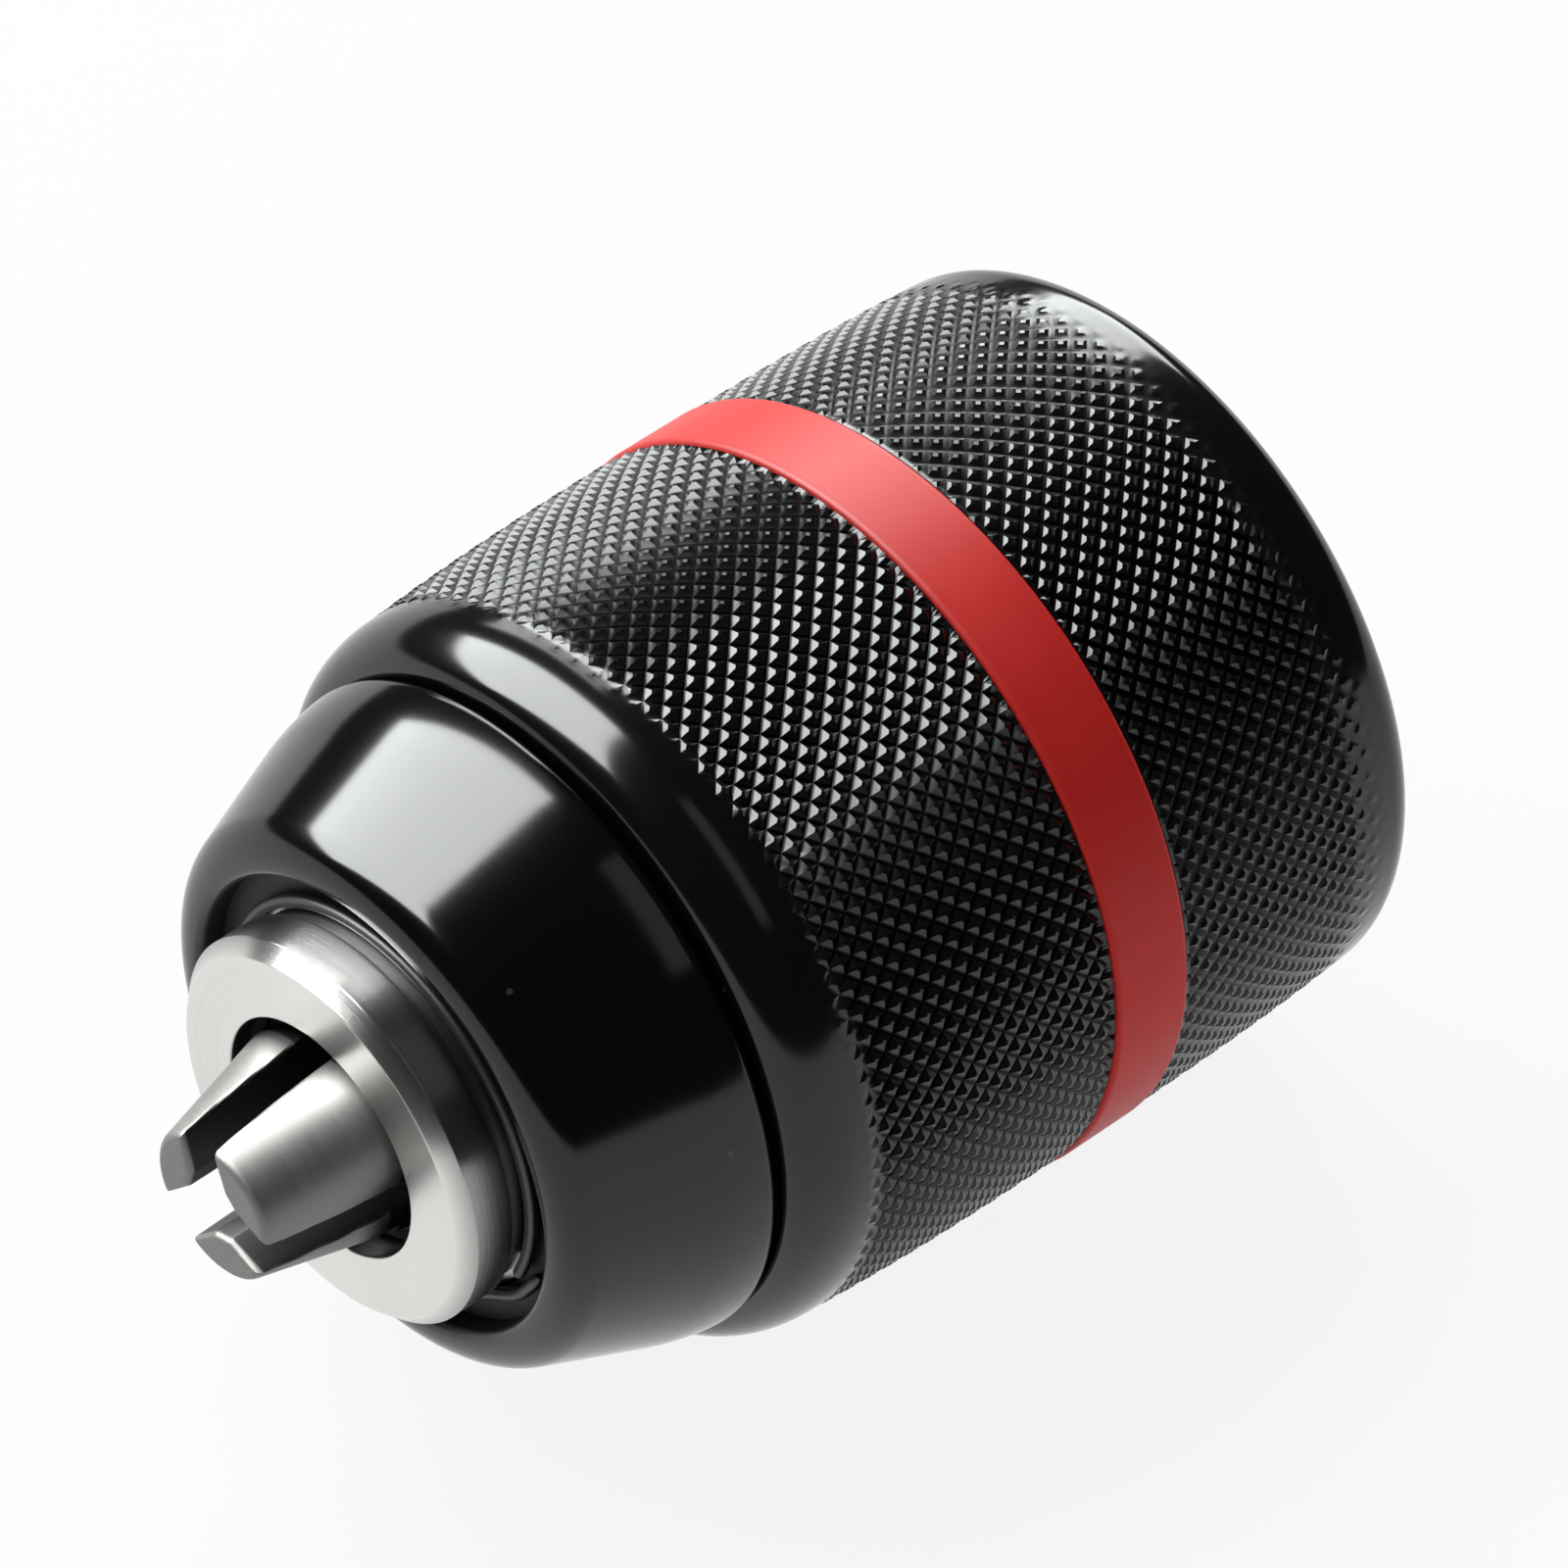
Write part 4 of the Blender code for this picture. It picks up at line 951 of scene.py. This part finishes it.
def sleeve_black():
    """The sleeve's black: the knurl's grooves are rougher, and painted shade, made as a near-black metal,
    dims their gloss.
    """
    material, tree, shader, cloud = black_gloss(
        "sleeve_black", (0.004, 0.004, 0.0043), DUST, peel=0.04, share=0.01
    )
    groove = node(tree, "ShaderNodeAttribute", {"attribute_name": "groove"})
    band = value_between(tree, groove.outputs["Fac"], low=0.14, high=0.3)
    # Painted shade in the knurl's grooves: near-black metal that reflects less.
    groove_painted_shade = value_between(tree, groove.outputs["Fac"], low=0.0, high=0.9, start=0.7, end=0.85)
    tree.links.new(groove_painted_shade, shader.inputs["Metallic"])
    gloss = value_between(tree, cloud, low=-0.03, high=0.03)
    tree.links.new(math_node(tree, "ADD", band, gloss), shader.inputs["Roughness"])
    return material


def ring_red():
    """The ring's red plastic: an even, soft sheen."""
    material, tree, shader = new_material("ring_red", 0.0)
    touch = place_group(tree, HANDLING, Peel=0.25, Cloud_Scale=320.0)
    tone = tone_between(tree, touch.outputs["Cloud"], (0.76, 0.018, 0.015), (0.86, 0.027, 0.022))
    tree.links.new(tone, shader.inputs["Base Color"])
    rough = value_between(tree, touch.outputs["Cloud"], low=0.4, high=0.52)
    tree.links.new(rough, shader.inputs["Roughness"])
    tree.links.new(touch.outputs["Normal"], shader.inputs["Normal"])
    shader.inputs["Specular IOR Level"].default_value = 0.3
    return material


BODY_STEEL = body_steel()
JAW_STEEL = jaw_steel()
NUT_STEEL = steel(
    "nut_steel", (0.36, 0.355, 0.34), (0.52, 0.51, 0.49), (0.3, 0.45), fineness=6000.0, depth=0.3
)[0]
BEARING_STEEL = steel(
    "bearing_steel", (0.66, 0.66, 0.66), (0.76, 0.76, 0.76), (0.08, 0.16), fineness=7000.0, depth=0.05
)[0]
SPRING_STEEL = steel(
    "spring_steel", (0.06, 0.06, 0.063), (0.1, 0.1, 0.104), (0.36, 0.5), fineness=7000.0, depth=0.1
)[0]
COVER_STEEL = steel(
    "cover_steel", (0.36, 0.36, 0.365), (0.5, 0.5, 0.505), (0.3, 0.45), fineness=5000.0, depth=0.2
)[0]
CAGE_BRASS = steel(
    "cage_brass", (0.5, 0.34, 0.12), (0.62, 0.45, 0.19), (0.28, 0.42), fineness=6000.0, depth=0.2
)[0]
HOOD_BLACK = hood_black()
SLEEVE_BLACK = sleeve_black()
RING_RED = ring_red()


# Pieces


add_piece("sleeve_knurled", sleeve_mesh(), SLEEVE_BLACK, "sleeve", "sleeve_black", "sleeve")
add_piece("colour_ring_smooth", colour_ring_mesh(), RING_RED, "sleeve", "ring_red", "colour_ring")
add_piece("hood_cone", hood_mesh(), HOOD_BLACK, "body", "hood_black", "hood")
add_piece("body_turned", body_mesh(), BODY_STEEL, "body", "body_steel", "chuck_body")
for jaw in range(len(JAW_ANGLES)):
    jaw_name = f"jaw_{jaw + 1}"
    add_piece(f"{jaw_name}_ground", jaw_mesh(jaw), JAW_STEEL, jaw_name, "jaw_steel", jaw_name)
add_piece("snap_ring_wire", snap_ring_mesh(), SPRING_STEEL, "body", "spring_steel", "snap_ring")
cover = ring_mesh("rear_cover_plate", "rear_cover", COVER_BORE, COVER_EDGE)
add_piece("rear_cover_plate", cover, COVER_STEEL, "body", "cover_steel", "rear_cover")
for washer, body_name in (("rear_washer", "body"), ("front_washer", "sleeve")):
    mesh = ring_mesh(f"{washer}_smooth", washer, WASHER_BORE, WASHER_EDGE)
    add_piece(f"{washer}_smooth", mesh, BEARING_STEEL, body_name, "bearing_steel", washer)
nut_ring = ring_mesh("nut_ring_smooth", "nut_ring", NUT_RING_BORE, NUT_RING_EDGE)
add_piece("nut_ring_smooth", nut_ring, NUT_STEEL, "sleeve", "nut_steel", "nut_ring")
for half in ("nut_half_1", "nut_half_2"):
    add_piece(f"{half}_smooth", smoothed_copy(half), NUT_STEEL, "sleeve", "nut_steel", half)
add_piece("ball_cage_smooth", smoothed_copy("ball_cage"), CAGE_BRASS, "bearing", "cage_brass", "ball_cage")
for ball in range(1, BALLS + 1):
    ball_name = f"ball_{ball:02d}"
    mesh = ball_mesh(ball_name)
    add_piece(f"{ball_name}_round", mesh, BEARING_STEEL, "bearing", "bearing_steel", ball_name)


# Floor, light and camera


TARGET = Vector((0.0, (SEAT_Y - RING_FRONT) / MM_PER_M, AXIS_HEIGHT / MM_PER_M))
FLOOR_SIZE = 3.0
FLOOR_DROP = 0.00002
FLOOR_LIFT = 0.88
FLOOR_WHITE = (0.93, 0.93, 0.93, 1.0)
WHITE = (1.0, 1.0, 1.0)
PANEL_TINT = (0.965, 1.0, 0.99)
GLOSS_DISTANCE = 0.6
LIGHT_DISTANCE = 0.8
LEFT_SIDE = (-0.66, 0.75)
RIGHT_SIDE = (0.52, 0.855)
STRIP_SIDE = (0.62, 0.78)
PHOTO_PIXELS = 1600.0
CAMERA_AZIMUTH = math.radians(47.456)
CAMERA_ELEVATION = math.radians(44.221)
CAMERA_DISTANCE = 0.55
LENS_LENGTH = 245.07
SENSOR_WIDTH = 36.0
NEAREST_SEEN = 0.01
SHIFT_PIXELS = (-48.73, 27.37)


def add_floor():
    """A pale floor that keeps the chuck's shadow, lifted towards white for the camera and for glosses."""
    mesh = bpy.data.meshes.new("floor")
    signs = [(-1, -1), (1, -1), (1, 1), (-1, 1)]
    corners = [(FLOOR_SIZE * x, FLOOR_SIZE * y, -FLOOR_DROP) for x, y in signs]
    mesh.from_pydata(corners, [], [(0, 1, 2, 3)])
    floor = bpy.data.objects.new("floor", mesh)
    bpy.context.scene.collection.objects.link(floor)
    material, tree, shader = new_material("floor_white", 0.0)
    shader.inputs["Base Color"].default_value = FLOOR_WHITE
    shader.inputs["Roughness"].default_value = 0.9
    shader.inputs["Specular IOR Level"].default_value = 0.1
    rays = node(tree, "ShaderNodeLightPath")
    seen = math_node(tree, "MAXIMUM", rays.outputs["Is Camera Ray"], rays.outputs["Is Glossy Ray"])
    seen = math_node(tree, "MAXIMUM", seen, rays.outputs["Is Transmission Ray"])
    white = node(tree, "ShaderNodeEmission", Strength=1.0)
    paper = node(tree, "ShaderNodeMixShader")
    tree.links.new(math_node(tree, "MULTIPLY", seen, FLOOR_LIFT), paper.inputs[0])
    tree.links.new(shader.outputs[0], paper.inputs[1])
    tree.links.new(white.outputs[0], paper.inputs[2])
    tree.links.new(paper.outputs[0], tree.nodes["Material Output"].inputs["Surface"])
    mesh.materials.append(material)


def add_panel(name, side, along, across, radiance, diffuse=True, glossy=True):
    """A soft panel in a plane that faces the chuck, square to a direction given by its x and z.

    Its reach along the axis and across it is given for a plane one unit away. Its power is its radiance
    times pi times its area.
    """
    distance = GLOSS_DISTANCE if glossy else LIGHT_DISTANCE
    facing = Vector((side[0], 0.0, side[1])).normalized()
    axis = Vector((0.0, 1.0, 0.0))
    rise = axis.cross(facing)
    lamp = bpy.data.lights.new(name, "AREA")
    lamp.shape = "RECTANGLE"
    lamp.size = distance * (along[1] - along[0])
    lamp.size_y = distance * (across[1] - across[0])
    lamp.energy = radiance * math.pi * lamp.size * lamp.size_y
    lamp.color = PANEL_TINT if glossy else WHITE
    panel = bpy.data.objects.new(name, lamp)
    bpy.context.scene.collection.objects.link(panel)
    middle = facing + axis * (along[0] + along[1]) / 2 + rise * (across[0] + across[1]) / 2
    panel.location = TARGET + distance * middle
    panel.rotation_euler = Matrix((axis, -rise, facing)).transposed().to_euler()
    panel.visible_camera = False
    panel.visible_diffuse = diffuse
    panel.visible_glossy = glossy


def add_world(strength):
    """An even, faint light from all round."""
    world = bpy.data.worlds.new("studio")
    bpy.context.scene.world = world
    world.use_nodes = True
    background = world.node_tree.nodes["Background"]
    background.inputs["Color"].default_value = (*WHITE, 1.0)
    background.inputs["Strength"].default_value = strength


def add_camera():
    """The photograph's view: round from the nose and up, at a distance from the red ring."""
    level = math.cos(CAMERA_ELEVATION)
    across, along = math.sin(CAMERA_AZIMUTH) * level, math.cos(CAMERA_AZIMUTH) * level
    back = Vector((across, -along, math.sin(CAMERA_ELEVATION)))
    lens = bpy.data.cameras.new("camera")
    lens.sensor_width = SENSOR_WIDTH
    lens.sensor_fit = "HORIZONTAL"
    lens.lens = LENS_LENGTH
    lens.shift_x = SHIFT_PIXELS[0] / PHOTO_PIXELS
    lens.shift_y = SHIFT_PIXELS[1] / PHOTO_PIXELS
    lens.clip_start = NEAREST_SEEN
    camera = bpy.data.objects.new("camera", lens)
    bpy.context.scene.collection.objects.link(camera)
    camera.location = TARGET + back * CAMERA_DISTANCE
    camera.rotation_euler = back.to_track_quat("Z", "Y").to_euler()
    bpy.context.scene.camera = camera


add_floor()
add_panel("key_light", LEFT_SIDE, (-1.25, 1.25), (-0.52, 0.52), radiance=2.6, glossy=False)
add_panel("fill_light", RIGHT_SIDE, (-0.75, 0.25), (-0.5, 0.5), radiance=0.35, glossy=False)
add_panel("front_softbox", LEFT_SIDE, (-0.92, 0.12), (-0.5, 0.6), radiance=15.5, diffuse=False)
add_panel("rear_softbox", LEFT_SIDE, (0.62, 1.5), (-0.55, 0.2), radiance=11.5, diffuse=False)
add_panel("rear_softbox_edge", LEFT_SIDE, (0.4, 0.62), (-0.55, 0.25), radiance=5.0, diffuse=False)
add_panel("faint_strip", STRIP_SIDE, (0.0, 0.2), (-0.45, 0.25), radiance=0.5, diffuse=False)
add_world(strength=0.04)
add_camera()
bpy.context.scene.view_settings.view_transform = "Standard"
